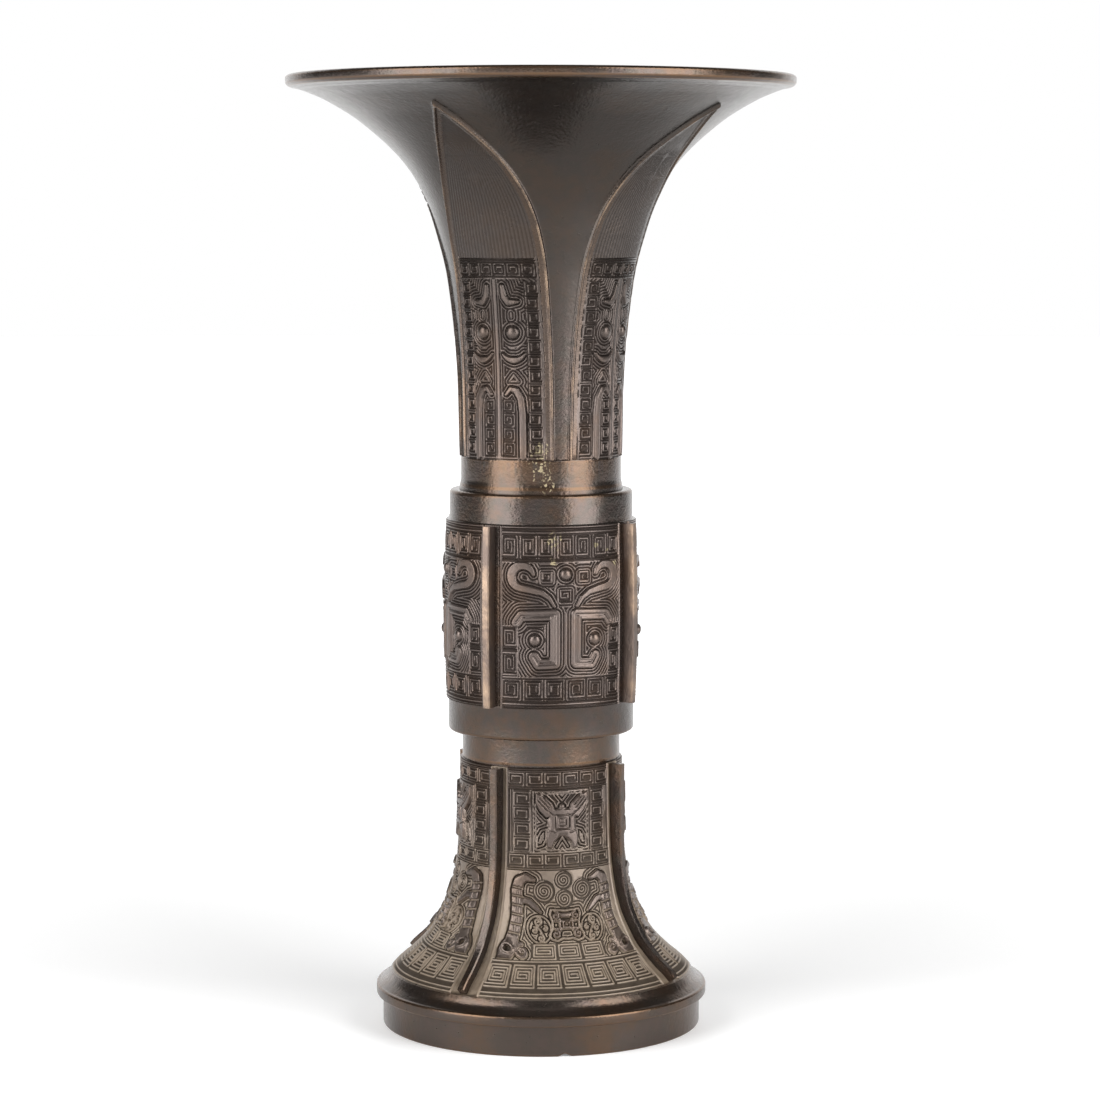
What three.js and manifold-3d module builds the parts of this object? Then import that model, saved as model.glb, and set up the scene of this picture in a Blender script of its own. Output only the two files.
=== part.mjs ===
// Bronze gu vase: one hollow casting with a trumpet mouth, a banded knop and a flared foot.
// Millimetres, +Z up, origin at the centre of the foot ring's underside.
// Each relief panel faces an axis and each flange stands on a diagonal between two panels.
import * as THREE from 'three';
import { mergeVertices } from 'three/addons/utils/BufferGeometryUtils.js';
import Module from 'manifold-3d';

const wasm = await Module();
wasm.setup();

// Foot ring, the overhanging moulding above it and the cavetto that leads up to the relief.
const FOOT_RING_HEIGHT = 9.6;
const FOOT_RING_RADIUS = 50.6;
const FOOT_RING_CHAMFER = 0.5;
const MOULDING_HEIGHT = 3.2;
const MOULDING_RADIUS = 52.7;
const MOULDING_ROUNDING = 0.7;
const CAVETTO_HEIGHT = 4.2;
const CAVETTO_HOLLOW = 0.9;

// Flared foot and the plain neck between it and the knop.
const FOOT_FLARE_HEIGHT = 68.3;
const FOOT_EDGE_RADIUS = 48;
const FOOT_TOP_RADIUS = 25.8;
const LOWER_NECK_HEIGHT = 9;
const LOWER_NECK_RADIUS = 25;

// Knop: a plain band, the bulging relief zone and a second plain band.
const KNOP_LOWER_BAND_HEIGHT = 10.2;
const KNOP_LOWER_BAND_RADIUS = 29.4;
const KNOP_PANEL_HEIGHT = 56.8;
const KNOP_PANEL_RADIUS = 30.1;
const KNOP_BULGE = 0.6;
const KNOP_UPPER_BAND_HEIGHT = 9.5;
const KNOP_UPPER_BAND_RADIUS = 28.9;
const KNOP_EDGE_ROUNDING = 1.1;

// Collar, trumpet and lip.
const COLLAR_HEIGHT = 10.6;
const COLLAR_RADIUS = 25.3;
const COLLAR_FLARE = 0.5;
const COLLAR_FLARE_HEIGHT = 2.5;
const TRUMPET_HEIGHT = 114.6;
const TRUMPET_EDGE_RADIUS = 76.2;
const RIM_RADIUS = 79.8;
const LIP_HEIGHT = 4;
const LIP_ROUNDING = 0.8;

// Casting walls.
const TRUMPET_WALL = 2.8;
const LIP_WALL = 4.2;
const KNOP_WALL = 3.2;
const FOOT_WALL = 3.2;
const FOOT_RING_WALL = 4.4;
const FLOOR_THICKNESS = 3.4;

// Flanges: upright fins that part the relief panels.
const FLANGE_THICKNESS = 2.5;
const KNOP_FLANGE_RISE = 3.7;
const KNOP_FLANGE_MARGIN = 0.8;
const FOOT_FLANGE_TOP_RISE = 4.2;
const FOOT_FLANGE_END_RISE = 2.6;
const FOOT_FLANGE_MARGIN = 0.8;
const FOOT_FLANGE_STEPS = 6;

// Relief lines and bosses. SINK is how deep every raised form is rooted in the wall.
const SINK = 1.1;
const BLADE_HALF_WIDTH = 17.3;
const BLADE_TAPER = 1.75;
const BLADE_SHOULDER = 60;
const BLADE_TIP_BELOW_LIP = 6;
const BLADE_RIDGE_WIDTH = 1.3;
const BLADE_RIDGE_RISE = 0.6;
const MASK_HORN_WIDTH = 3;
const MASK_HORN_RISE = 1;
const MASK_JAW_WIDTH = 2.6;
const MASK_JAW_RISE = 0.8;
const MASK_BOSS_RADIUS = 1.7;
const MASK_BOSS_RISE = 1.1;
const STAR_RADIUS = 7.6;
const STAR_PETAL_WIDTH = 3.2;
const STAR_RISE = 0.8;
const DRAGON_WIDTH = 3.4;
const DRAGON_RISE = 0.9;
const DRAGON_EYE_RADIUS = 1.9;
const BAR_CREST = 0.6;
const BOSS_CREST = 0.6;
const BOSS_SIDES = 6;

// Facets around the outside and the inside of the casting.
const OUTER_SIDES = 36;
const INNER_SIDES = 24;
const PANELS = 4;

// How strongly profile points gather where the foot and the trumpet spread.
const FLARE_BUNCHING = 1.8;

const FULL_TURN = Math.PI * 2;
const UP = new THREE.Vector3(0, 1, 0);

// Heights of the levels, each stacked on the one below.
const Z_MOULDING = FOOT_RING_HEIGHT;
const Z_CAVETTO = Z_MOULDING + MOULDING_HEIGHT;
const Z_FOOT = Z_CAVETTO + CAVETTO_HEIGHT;
const Z_LOWER_NECK = Z_FOOT + FOOT_FLARE_HEIGHT;
const Z_KNOP = Z_LOWER_NECK + LOWER_NECK_HEIGHT;
const Z_KNOP_PANEL = Z_KNOP + KNOP_LOWER_BAND_HEIGHT;
const Z_UPPER_BAND = Z_KNOP_PANEL + KNOP_PANEL_HEIGHT;
const Z_COLLAR = Z_UPPER_BAND + KNOP_UPPER_BAND_HEIGHT;
const Z_TRUMPET = Z_COLLAR + COLLAR_HEIGHT;
const Z_LIP = Z_TRUMPET + TRUMPET_HEIGHT;
const Z_TOP = Z_LIP + LIP_HEIGHT;

// The trumpet's swell, as shares of its height and of its spread from collar to edge.
const TRUMPET_SWELL = [
  [0, 0], [0.261, 0.0165], [0.48, 0.0676], [0.589, 0.124], [0.698, 0.211], [0.806, 0.363],
  [0.909, 0.616], [0.968, 0.831], [1, 1],
].map(([height, spread]) => new THREE.Vector2(height, spread));

// The foot's flare, as shares of its height from the lower edge and of its spread.
const FOOT_SWELL = [
  [0, 1], [0.035, 0.896], [0.081, 0.725], [0.161, 0.482], [0.225, 0.351], [0.307, 0.216],
  [0.411, 0.113], [0.555, 0.043], [0.79, 0.009], [1, 0],
].map(([height, spread]) => new THREE.Vector2(height, spread));

// Value of a curve of [height share, spread] points at one height, by Hermite steps.
function sampleCurve(points, share) {
  const last = points.length - 2;
  let i = 0;
  while (i < last && share > points[i + 1].x) i += 1;
  const slope = (k) => {
    const before = points[Math.max(k - 1, 0)];
    const after = points[Math.min(k + 1, points.length - 1)];
    return (after.y - before.y) / (after.x - before.x);
  };
  const step = points[i + 1].x - points[i].x;
  const t = THREE.MathUtils.clamp((share - points[i].x) / step, 0, 1);
  const startWeight = 2 * t ** 3 - 3 * t ** 2 + 1;
  const startSlope = (t ** 3 - 2 * t ** 2 + t) * step * slope(i);
  const endSlope = (t ** 3 - t ** 2) * step * slope(i + 1);
  return points[i].y * startWeight + points[i + 1].y * (1 - startWeight) + startSlope + endSlope;
}

function trumpetRadius(z) {
  const spread = TRUMPET_EDGE_RADIUS - COLLAR_RADIUS;
  return COLLAR_RADIUS + spread * sampleCurve(TRUMPET_SWELL, (z - Z_TRUMPET) / TRUMPET_HEIGHT);
}

function footRadius(z) {
  const spread = FOOT_EDGE_RADIUS - FOOT_TOP_RADIUS;
  return FOOT_TOP_RADIUS + spread * sampleCurve(FOOT_SWELL, (z - Z_FOOT) / FOOT_FLARE_HEIGHT);
}

function knopRadius(z) {
  const share = THREE.MathUtils.clamp((z - Z_KNOP_PANEL) / KNOP_PANEL_HEIGHT, 0, 1);
  return KNOP_PANEL_RADIUS + KNOP_BULGE * Math.sin(Math.PI * share);
}

// Height on the trumpet where its slant length, measured down from the tip, reaches a value.
function slantStations(zFrom, zTo, count) {
  const stations = [];
  let length = 0;
  for (let i = 0; i <= count; i += 1) {
    const z = zFrom + ((zTo - zFrom) * i) / count;
    if (i > 0) {
      const before = stations[i - 1];
      length += Math.hypot(z - before.z, trumpetRadius(z) - trumpetRadius(before.z));
    }
    stations.push({ z, length });
  }
  return stations;
}

// Profile points between two heights. A bunching over 1 draws them towards the first height,
// and one under 1 draws them towards the last.
function bunchedPoints(zFrom, zTo, steps, bunching, radiusAt) {
  const points = [];
  for (let i = 0; i <= steps; i += 1) {
    const share = bunching < 1 ? 1 - (1 - i / steps) ** (1 / bunching) : (i / steps) ** bunching;
    const z = zFrom + (zTo - zFrom) * share;
    points.push(new THREE.Vector2(radiusAt(z), z));
  }
  return points;
}

function outsideProfile() {
  const cavettoMiddle = (FOOT_EDGE_RADIUS + MOULDING_RADIUS) / 2 - CAVETTO_HOLLOW;
  return [
    new THREE.Vector2(0, 0),
    new THREE.Vector2(FOOT_RING_RADIUS - FOOT_RING_CHAMFER, 0),
    new THREE.Vector2(FOOT_RING_RADIUS, FOOT_RING_CHAMFER),
    new THREE.Vector2(FOOT_RING_RADIUS, Z_MOULDING),
    new THREE.Vector2(MOULDING_RADIUS - MOULDING_ROUNDING, Z_MOULDING),
    new THREE.Vector2(MOULDING_RADIUS, Z_MOULDING + MOULDING_ROUNDING),
    new THREE.Vector2(MOULDING_RADIUS, Z_CAVETTO - MOULDING_ROUNDING),
    new THREE.Vector2(MOULDING_RADIUS - MOULDING_ROUNDING, Z_CAVETTO),
    new THREE.Vector2(cavettoMiddle, Z_CAVETTO + CAVETTO_HEIGHT / 2),
    ...bunchedPoints(Z_FOOT, Z_LOWER_NECK, 8, FLARE_BUNCHING, footRadius),
    new THREE.Vector2(LOWER_NECK_RADIUS, Z_LOWER_NECK + 0.6),
    new THREE.Vector2(LOWER_NECK_RADIUS, Z_KNOP),
    new THREE.Vector2(KNOP_LOWER_BAND_RADIUS - KNOP_EDGE_ROUNDING, Z_KNOP),
    new THREE.Vector2(KNOP_LOWER_BAND_RADIUS, Z_KNOP + KNOP_EDGE_ROUNDING),
    new THREE.Vector2(KNOP_LOWER_BAND_RADIUS, Z_KNOP_PANEL),
    ...bunchedPoints(Z_KNOP_PANEL, Z_UPPER_BAND, 2, 1, knopRadius),
    new THREE.Vector2(KNOP_UPPER_BAND_RADIUS, Z_UPPER_BAND),
    new THREE.Vector2(KNOP_UPPER_BAND_RADIUS, Z_COLLAR - KNOP_EDGE_ROUNDING),
    new THREE.Vector2(KNOP_UPPER_BAND_RADIUS - KNOP_EDGE_ROUNDING, Z_COLLAR),
    new THREE.Vector2(COLLAR_RADIUS + COLLAR_FLARE, Z_COLLAR),
    new THREE.Vector2(COLLAR_RADIUS, Z_COLLAR + COLLAR_FLARE_HEIGHT),
    ...bunchedPoints(Z_TRUMPET, Z_LIP, 10, 1 / FLARE_BUNCHING, trumpetRadius),
    new THREE.Vector2((TRUMPET_EDGE_RADIUS + RIM_RADIUS * 2) / 3, Z_LIP + LIP_HEIGHT / 3),
    new THREE.Vector2(RIM_RADIUS, Z_LIP + LIP_HEIGHT * 0.6),
    new THREE.Vector2(RIM_RADIUS, Z_TOP - LIP_ROUNDING),
    new THREE.Vector2(RIM_RADIUS - LIP_ROUNDING, Z_TOP),
    new THREE.Vector2(0, Z_TOP),
  ];
}

// The hollow of the trumpet and the knop, down to the floor, open at the mouth.
function upperHollowProfile() {
  const floor = Z_KNOP + FLOOR_THICKNESS;
  const knopBore = KNOP_PANEL_RADIUS - KNOP_WALL;
  const neckBore = COLLAR_RADIUS - TRUMPET_WALL;
  const shoulder = Z_COLLAR - KNOP_WALL;
  const mouthRadius = RIM_RADIUS - LIP_WALL;
  const innerRadius = (z) => {
    const share = THREE.MathUtils.clamp((z - Z_TRUMPET) / (Z_TOP - Z_TRUMPET), 0, 1);
    return neckBore + (mouthRadius - neckBore) * sampleCurve(TRUMPET_SWELL, share);
  };
  return [
    new THREE.Vector2(0, floor),
    new THREE.Vector2(knopBore - KNOP_EDGE_ROUNDING, floor),
    new THREE.Vector2(knopBore, floor + KNOP_EDGE_ROUNDING),
    new THREE.Vector2(knopBore, shoulder - (knopBore - neckBore)),
    new THREE.Vector2(neckBore, shoulder),
    ...bunchedPoints(Z_TRUMPET, Z_TOP, 8, 1 / FLARE_BUNCHING, innerRadius),
    new THREE.Vector2(mouthRadius, Z_TOP + 1),
    new THREE.Vector2(0, Z_TOP + 1),
  ];
}

// The hollow under the floor, open below, following the foot's flare.
function lowerHollowProfile() {
  const ringBore = FOOT_RING_RADIUS - FOOT_RING_WALL;
  const ceiling = Z_KNOP;
  const inner = (z) => Math.min(footRadius(z + FOOT_WALL * 0.7) - FOOT_WALL, ringBore);
  return [
    new THREE.Vector2(0, -1),
    new THREE.Vector2(ringBore, -1),
    new THREE.Vector2(ringBore, FOOT_RING_HEIGHT),
    ...bunchedPoints(Z_FOOT, Z_LOWER_NECK, 6, FLARE_BUNCHING, inner),
    new THREE.Vector2(LOWER_NECK_RADIUS - FOOT_WALL, ceiling - FLOOR_THICKNESS),
    new THREE.Vector2(0, ceiling - FLOOR_THICKNESS),
  ];
}

function toSolid(geometry) {
  const bare = geometry.clone();
  bare.deleteAttribute('normal');
  bare.deleteAttribute('uv');
  const merged = mergeVertices(bare, 1e-4);
  return new wasm.Manifold(new wasm.Mesh({
    numProp: 3,
    vertProperties: new Float32Array(merged.attributes.position.array),
    triVerts: new Uint32Array(merged.index.array),
  }));
}

function toGeometry(solid) {
  const mesh = solid.getMesh();
  const geometry = new THREE.BufferGeometry();
  geometry.setAttribute('position', new THREE.BufferAttribute(mesh.vertProperties, mesh.numProp));
  geometry.setIndex(new THREE.BufferAttribute(mesh.triVerts, 1));
  geometry.computeVertexNormals();
  return geometry;
}

// A lathe turns about Y, so the turned solid is tipped up to stand along Z.
function latheSolid(profile, sides) {
  const lathe = new THREE.LatheGeometry(profile, sides);
  lathe.rotateX(Math.PI / 2);
  return toSolid(lathe);
}

// A surface of the casting: its radius by height, its turn about Z and the radius that
// arc lengths along the panel are measured on.
class Panel {
  constructor(radiusAt, turn) {
    this.radiusAt = radiusAt;
    this.turn = turn;
  }

  // Place of a point that lies across mm to the right of the panel's middle, at a height.
  point(across, z, rise) {
    const radius = this.radiusAt(z);
    const slope = (this.radiusAt(z + 0.05) - this.radiusAt(z - 0.05)) / 0.1;
    const tilt = 1 / Math.hypot(1, slope);
    const angle = this.turn + across / radius;
    const out = radius + rise * tilt;
    return new THREE.Vector3(Math.cos(angle) * out, Math.sin(angle) * out, z - rise * slope * tilt);
  }
}

// A raised bar of the casting that follows a path of [across, height] points on a panel.
function bar(panel, path, width, rise) {
  const steps = path.length - 1;
  const box = new THREE.BoxGeometry(1, 1, 1, 1, 1, steps);
  const position = box.attributes.position;
  const place = (k) => panel.point(path[k][0], path[k][1], 0);
  for (let i = 0; i < position.count; i += 1) {
    const station = Math.round((position.getZ(i) + 0.5) * steps);
    const before = place(Math.max(station - 1, 0));
    const after = place(Math.min(station + 1, steps));
    const here = place(station);
    const outward = panel.point(path[station][0], path[station][1], 1).sub(here);
    const along = after.sub(before).normalize();
    const side = new THREE.Vector3().crossVectors(along, outward).normalize();
    const raised = position.getY(i) > 0;
    const reach = position.getX(i) * width * (raised ? BAR_CREST : 1);
    here.addScaledVector(side, reach).addScaledVector(outward, raised ? rise : -SINK);
    position.setXYZ(i, here.x, here.y, here.z);
  }
  return asClosedSolid(box);
}

// A low round boss on a panel.
function boss(panel, across, z, radius, rise) {
  const stub = new THREE.CylinderGeometry(radius * BOSS_CREST, radius, rise + SINK, BOSS_SIDES);
  stub.translate(0, (rise - SINK) / 2, 0);
  const centre = panel.point(across, z, 0);
  const outward = panel.point(across, z, 1).sub(centre).normalize();
  stub.applyQuaternion(new THREE.Quaternion().setFromUnitVectors(UP, outward));
  stub.translate(centre.x, centre.y, centre.z);
  return asClosedSolid(stub);
}

// A bent box can come out inside out, which shows as a negative volume, so it is turned round.
function asClosedSolid(geometry) {
  const solid = toSolid(geometry);
  if (solid.volume() > 0) return solid;
  const index = geometry.index.array;
  for (let i = 0; i < index.length; i += 3) {
    [index[i + 1], index[i + 2]] = [index[i + 2], index[i + 1]];
  }
  return toSolid(geometry);
}

const mirrored = (path) => path.map(([across, z]) => [-across, z]);

// One leaf blade on the trumpet: its raised edge, broad at the foot and pointed below the lip.
function bladeRelief(turn) {
  const panel = new Panel(trumpetRadius, turn);
  const tip = Z_LIP - BLADE_TIP_BELOW_LIP;
  const stations = slantStations(tip, Z_TRUMPET + 0.6, 7);
  const edge = stations.map(({ z, length }) => {
    const taper = Math.min(length / BLADE_SHOULDER, 1);
    return [BLADE_HALF_WIDTH * (1 - (1 - taper) ** BLADE_TAPER), z];
  });
  return [edge, mirrored(edge)].map(
    (path) => bar(panel, path, BLADE_RIDGE_WIDTH, BLADE_RIDGE_RISE),
  );
}

// The animal mask on one side of the knop: brow boss, scrolled horns, jaws and eyes.
function knopRelief(turn) {
  const panel = new Panel(knopRadius, turn);
  const base = Z_KNOP_PANEL;
  const horn = [
    [17.4, base + 39], [16.6, base + 44], [9.6, base + 43], [3.6, base + 34.4],
  ];
  const jaw = [[15.4, base + 30], [2.8, base + 30.6], [2.8, base + 14], [10, base + 14]];
  const forms = [boss(panel, 0, base + 42, MASK_BOSS_RADIUS, MASK_BOSS_RISE)];
  for (const flip of [(path) => path, mirrored]) {
    forms.push(bar(panel, flip(horn), MASK_HORN_WIDTH, MASK_HORN_RISE));
    forms.push(bar(panel, flip(jaw), MASK_JAW_WIDTH, MASK_JAW_RISE));
  }
  for (const side of [-1, 1]) {
    forms.push(boss(panel, side * 9.8, base + 22, MASK_BOSS_RADIUS, MASK_BOSS_RISE));
  }
  return forms;
}

// The foot's panel: a four-petalled star above and two dragons running down towards the edge.
function footRelief(turn) {
  const panel = new Panel(footRadius, turn);
  const starHeight = Z_LOWER_NECK - 17;
  const forms = [];
  for (const lean of [45, 135]) {
    const dx = STAR_RADIUS * Math.cos(THREE.MathUtils.degToRad(lean));
    const dz = STAR_RADIUS * Math.sin(THREE.MathUtils.degToRad(lean));
    const petals = [[-dx, starHeight - dz], [0, starHeight], [dx, starHeight + dz]];
    forms.push(bar(panel, petals, STAR_PETAL_WIDTH, STAR_RISE));
  }
  const dragon = [[14.6, 36], [11.6, 36], [14.6, 23], [20.4, 10]];
  const onFoot = (path) => path.map(([across, height]) => [across, Z_FOOT + height]);
  for (const flip of [(path) => path, mirrored]) {
    forms.push(bar(panel, flip(onFoot(dragon)), DRAGON_WIDTH, DRAGON_RISE));
  }
  for (const side of [-1, 1]) {
    forms.push(boss(panel, side * 19.4, Z_FOOT + 14.6, DRAGON_EYE_RADIUS, DRAGON_RISE + 0.6));
  }
  return forms;
}

// A flange is a bar whose rise runs from one value at the top to another at its cut end.
function flange(panel, zTop, zEnd, riseTop, riseEnd, steps) {
  const box = new THREE.BoxGeometry(FLANGE_THICKNESS, 1, 1, 1, 1, steps);
  const position = box.attributes.position;
  for (let i = 0; i < position.count; i += 1) {
    const share = position.getZ(i) + 0.5;
    const z = zTop + (zEnd - zTop) * share;
    const rise = position.getY(i) > 0 ? riseTop + (riseEnd - riseTop) * share : -SINK * 2;
    const place = panel.point(position.getX(i), z, rise);
    position.setXYZ(i, place.x, place.y, place.z);
  }
  return asClosedSolid(box);
}

function flangePair(turn) {
  const knop = new Panel(knopRadius, turn);
  const foot = new Panel(footRadius, turn);
  return [
    flange(knop, Z_UPPER_BAND - KNOP_FLANGE_MARGIN, Z_KNOP_PANEL + KNOP_FLANGE_MARGIN,
      KNOP_FLANGE_RISE, KNOP_FLANGE_RISE, 2),
    flange(foot, Z_LOWER_NECK - FOOT_FLANGE_MARGIN, Z_FOOT + FOOT_FLANGE_MARGIN,
      FOOT_FLANGE_TOP_RISE, FOOT_FLANGE_END_RISE, FOOT_FLANGE_STEPS),
  ];
}

function buildVase() {
  const forms = [];
  for (let i = 0; i < PANELS; i += 1) {
    const face = (FULL_TURN * i) / PANELS;
    const diagonal = face + FULL_TURN / PANELS / 2;
    forms.push(...flangePair(diagonal), ...bladeRelief(diagonal));
    forms.push(...knopRelief(face), ...footRelief(face));
  }
  const outside = forms.reduce((body, form) => body.add(form),
    latheSolid(outsideProfile(), OUTER_SIDES));
  return outside
    .subtract(latheSolid(upperHollowProfile(), INNER_SIDES))
    .subtract(latheSolid(lowerHollowProfile(), INNER_SIDES));
}

const patinatedBronze = new THREE.MeshStandardMaterial({
  color: 0x4d4640,
  metalness: 0.75,
  roughness: 0.42,
});

const vase = new THREE.Mesh(toGeometry(buildVase()), patinatedBronze);
vase.name = 'gu_vase';

const group = new THREE.Group();
group.add(vase);

export default group;
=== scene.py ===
"""Dresses the bronze gu vase: cast relief, worn patina, floor and studio light.

The vase is one hollow casting. It is shown as closed rings that meet at its mouldings, each
with its relief worked as real mesh: leaf blades on the trumpet, animal masks on the knop,
stars and dragons on the foot, and fret grounds between them. Lengths here are millimetres
until a mesh is made.
"""
import math

import bpy
import numpy as np
from bpy.props import FloatProperty, FloatVectorProperty, IntProperty, PointerProperty
from bpy.types import Operator, Panel, PropertyGroup
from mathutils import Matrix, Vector


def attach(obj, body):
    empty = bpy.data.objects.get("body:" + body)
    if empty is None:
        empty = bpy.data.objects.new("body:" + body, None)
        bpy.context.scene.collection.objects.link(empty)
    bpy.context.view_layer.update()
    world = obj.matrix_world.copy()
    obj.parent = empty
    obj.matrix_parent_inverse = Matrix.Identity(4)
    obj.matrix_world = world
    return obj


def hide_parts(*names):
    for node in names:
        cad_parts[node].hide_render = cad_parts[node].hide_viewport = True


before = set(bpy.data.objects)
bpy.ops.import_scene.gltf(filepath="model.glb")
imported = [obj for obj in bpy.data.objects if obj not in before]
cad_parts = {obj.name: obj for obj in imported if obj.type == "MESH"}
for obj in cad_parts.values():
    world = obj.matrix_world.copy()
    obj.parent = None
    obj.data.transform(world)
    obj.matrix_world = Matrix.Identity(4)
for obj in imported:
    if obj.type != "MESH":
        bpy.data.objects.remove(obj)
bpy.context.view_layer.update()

bl_info = {
    "name": "Bronze gu vase",
    "version": (1, 0, 0),
    "blender": (4, 5, 0),
    "location": "3D View > Sidebar > Gu vase",
    "description": "Builds the cast relief, patina and studio of a bronze gu vase",
    "category": "Add Mesh",
}

BODY = "root"
NODE = "gu_vase"

MM = 0.001
FAR = 99.0
COARSE = 1
PANELS = 4
PANEL_TURN = 2 * math.pi / PANELS
EDGE_ANGLE = math.radians(39)

# Heights of the levels, as in the casting.
Z_MOULDING = 9.6
Z_CAVETTO = 12.8
Z_FOOT = 17.0
Z_FOOT_PARTING = 53.2
Z_LOWER_NECK = 85.3
Z_KNOP = 94.3
Z_FLOOR_PLATE = 97.7
Z_KNOP_PANEL = 104.5
Z_KNOP_PARTING = 132.0
Z_UPPER_BAND = 161.3
Z_COLLAR = 170.8
Z_TRUMPET = 181.4
Z_COMB = 243.6
Z_LIP = 296.0
Z_TOP = 300.0

# Radii of the plain parts.
R_RING = 50.6
R_MOULDING = 52.7
R_FOOT_EDGE = 48.0
R_FOOT_TOP = 25.8
R_LOWER_NECK = 25.0
R_LOWER_BAND = 29.4
R_KNOP_PANEL = 30.1
R_UPPER_BAND = 28.9
R_COLLAR = 25.3
R_TRUMPET_EDGE = 76.2
R_RIM = 79.8
KNOP_BULGE = 0.6

# The inside of the walls.
R_RING_BORE = 46.2
R_KNOP_BORE = 26.9
R_NECK_BORE = 22.5
R_MOUTH_BORE = 75.6
FOOT_WALL = 3.2

# A parting between two rings: how far its wall climbs inwards, the rows kept whole beside it,
# and the lap of one ring under the next.
PARTING_STEP = 1.6
PARTING_ROWS = 3
LAP_STEP = 0.5
LAP_INSET = 0.02

# Swell of the trumpet and of the foot, as shares of height and spread.
TRUMPET_SWELL = ((0, 0), (0.261, 0.0165), (0.48, 0.0676), (0.589, 0.124), (0.698, 0.211),
                 (0.806, 0.363), (0.909, 0.616), (0.968, 0.831), (1, 1))
FOOT_SWELL = ((0, 1), (0.035, 0.896), (0.081, 0.725), (0.161, 0.482), (0.225, 0.351),
              (0.307, 0.216), (0.411, 0.113), (0.555, 0.043), (0.79, 0.009), (1, 0))


def swell(points, share):
    """Values of a curve of (height, spread) points, smooth through every point."""
    x, y = np.array(points, float).T
    slope = np.gradient(y, x)
    slope[1:-1] = (y[2:] - y[:-2]) / (x[2:] - x[:-2])
    share = np.clip(share, x[0], x[-1])
    i = np.clip(np.searchsorted(x, share, "right") - 1, 0, len(x) - 2)
    step = x[i + 1] - x[i]
    t = (share - x[i]) / step
    start = 2 * t ** 3 - 3 * t ** 2 + 1
    return (y[i] * start + y[i + 1] * (1 - start)
            + (t ** 3 - 2 * t ** 2 + t) * step * slope[i]
            + (t ** 3 - t ** 2) * step * slope[i + 1])


def trumpet_radius(z):
    share = (z - Z_TRUMPET) / (Z_LIP - Z_TRUMPET)
    return R_COLLAR + (R_TRUMPET_EDGE - R_COLLAR) * swell(TRUMPET_SWELL, share)


def foot_radius(z):
    share = (z - Z_FOOT) / (Z_LOWER_NECK - Z_FOOT)
    return R_FOOT_TOP + (R_FOOT_EDGE - R_FOOT_TOP) * swell(FOOT_SWELL, share)


def knop_radius(z):
    share = np.clip((z - Z_KNOP_PANEL) / (Z_UPPER_BAND - Z_KNOP_PANEL), 0, 1)
    return R_KNOP_PANEL + KNOP_BULGE * np.sin(np.pi * share)


def trumpet_bore(z):
    share = (z - Z_TRUMPET) / (Z_TOP - Z_TRUMPET)
    return R_NECK_BORE + (R_MOUTH_BORE - R_NECK_BORE) * swell(TRUMPET_SWELL, share)


def foot_bore(z):
    return np.minimum(foot_radius(z + FOOT_WALL * 0.7) - FOOT_WALL, R_RING_BORE)


def smooth(x):
    """A 0 to 1 ramp with soft ends."""
    x = np.clip(x, 0, 1)
    return x * x * (3 - 2 * x)


def mirrored(path):
    return [(-across, z) for across, z in path]


# A figure is drawn once as it is and once mirrored.
FLIPS = (list, mirrored)


def closed(path):
    return path + path[:1]


def box(across, z, half_width, half_height):
    """The corners of an upright rectangle about a point."""
    return [(across + i * half_width, z + j * half_height)
            for i, j in ((-1, -1), (1, -1), (1, 1), (-1, 1))]


def arc(across, z, radius, start, end, steps=10):
    """Points of an arc about a centre, in degrees from the right, turning upwards."""
    turns = np.radians(np.linspace(start, end, steps + 1))
    return [(across + radius * math.cos(a), z + radius * math.sin(a)) for a in turns]


def square_spiral(z, width, height, pitch):
    """One squared fret about the panel's middle, from its lower left corner inwards."""
    left, right = -width / 2, width / 2
    low, high = z - height / 2, z + height / 2
    path = [(left, low)]
    while right - left > pitch * 0.9 and high - low > pitch * 0.9:
        path += [(right, low), (right, high), (left, high), (left, low + pitch)]
        left, right, low, high = left + pitch, right - pitch, low + pitch, high - pitch
    return path


def round_spiral(across, z, radius, pitch, core=0.2, steps_a_turn=14):
    """One round curl, from its outside inwards."""
    turns = radius / pitch
    steps = int(turns * steps_a_turn)
    path = []
    for k in range(steps + 1):
        share = k / steps
        angle = share * turns * 2 * math.pi + math.pi / 2
        reach = radius * (1 - share) + core * share
        path.append((across + reach * math.cos(angle), z + reach * math.sin(angle)))
    return path


# The sunk ground, and the width and bevel of the threads that stand on it.
GROUND = -0.24
LINE_WIDTH = 0.34
LINE_BEVEL = 0.26
TAPER_STEPS = 5
PROFILE_POINTS = 3000


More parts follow.
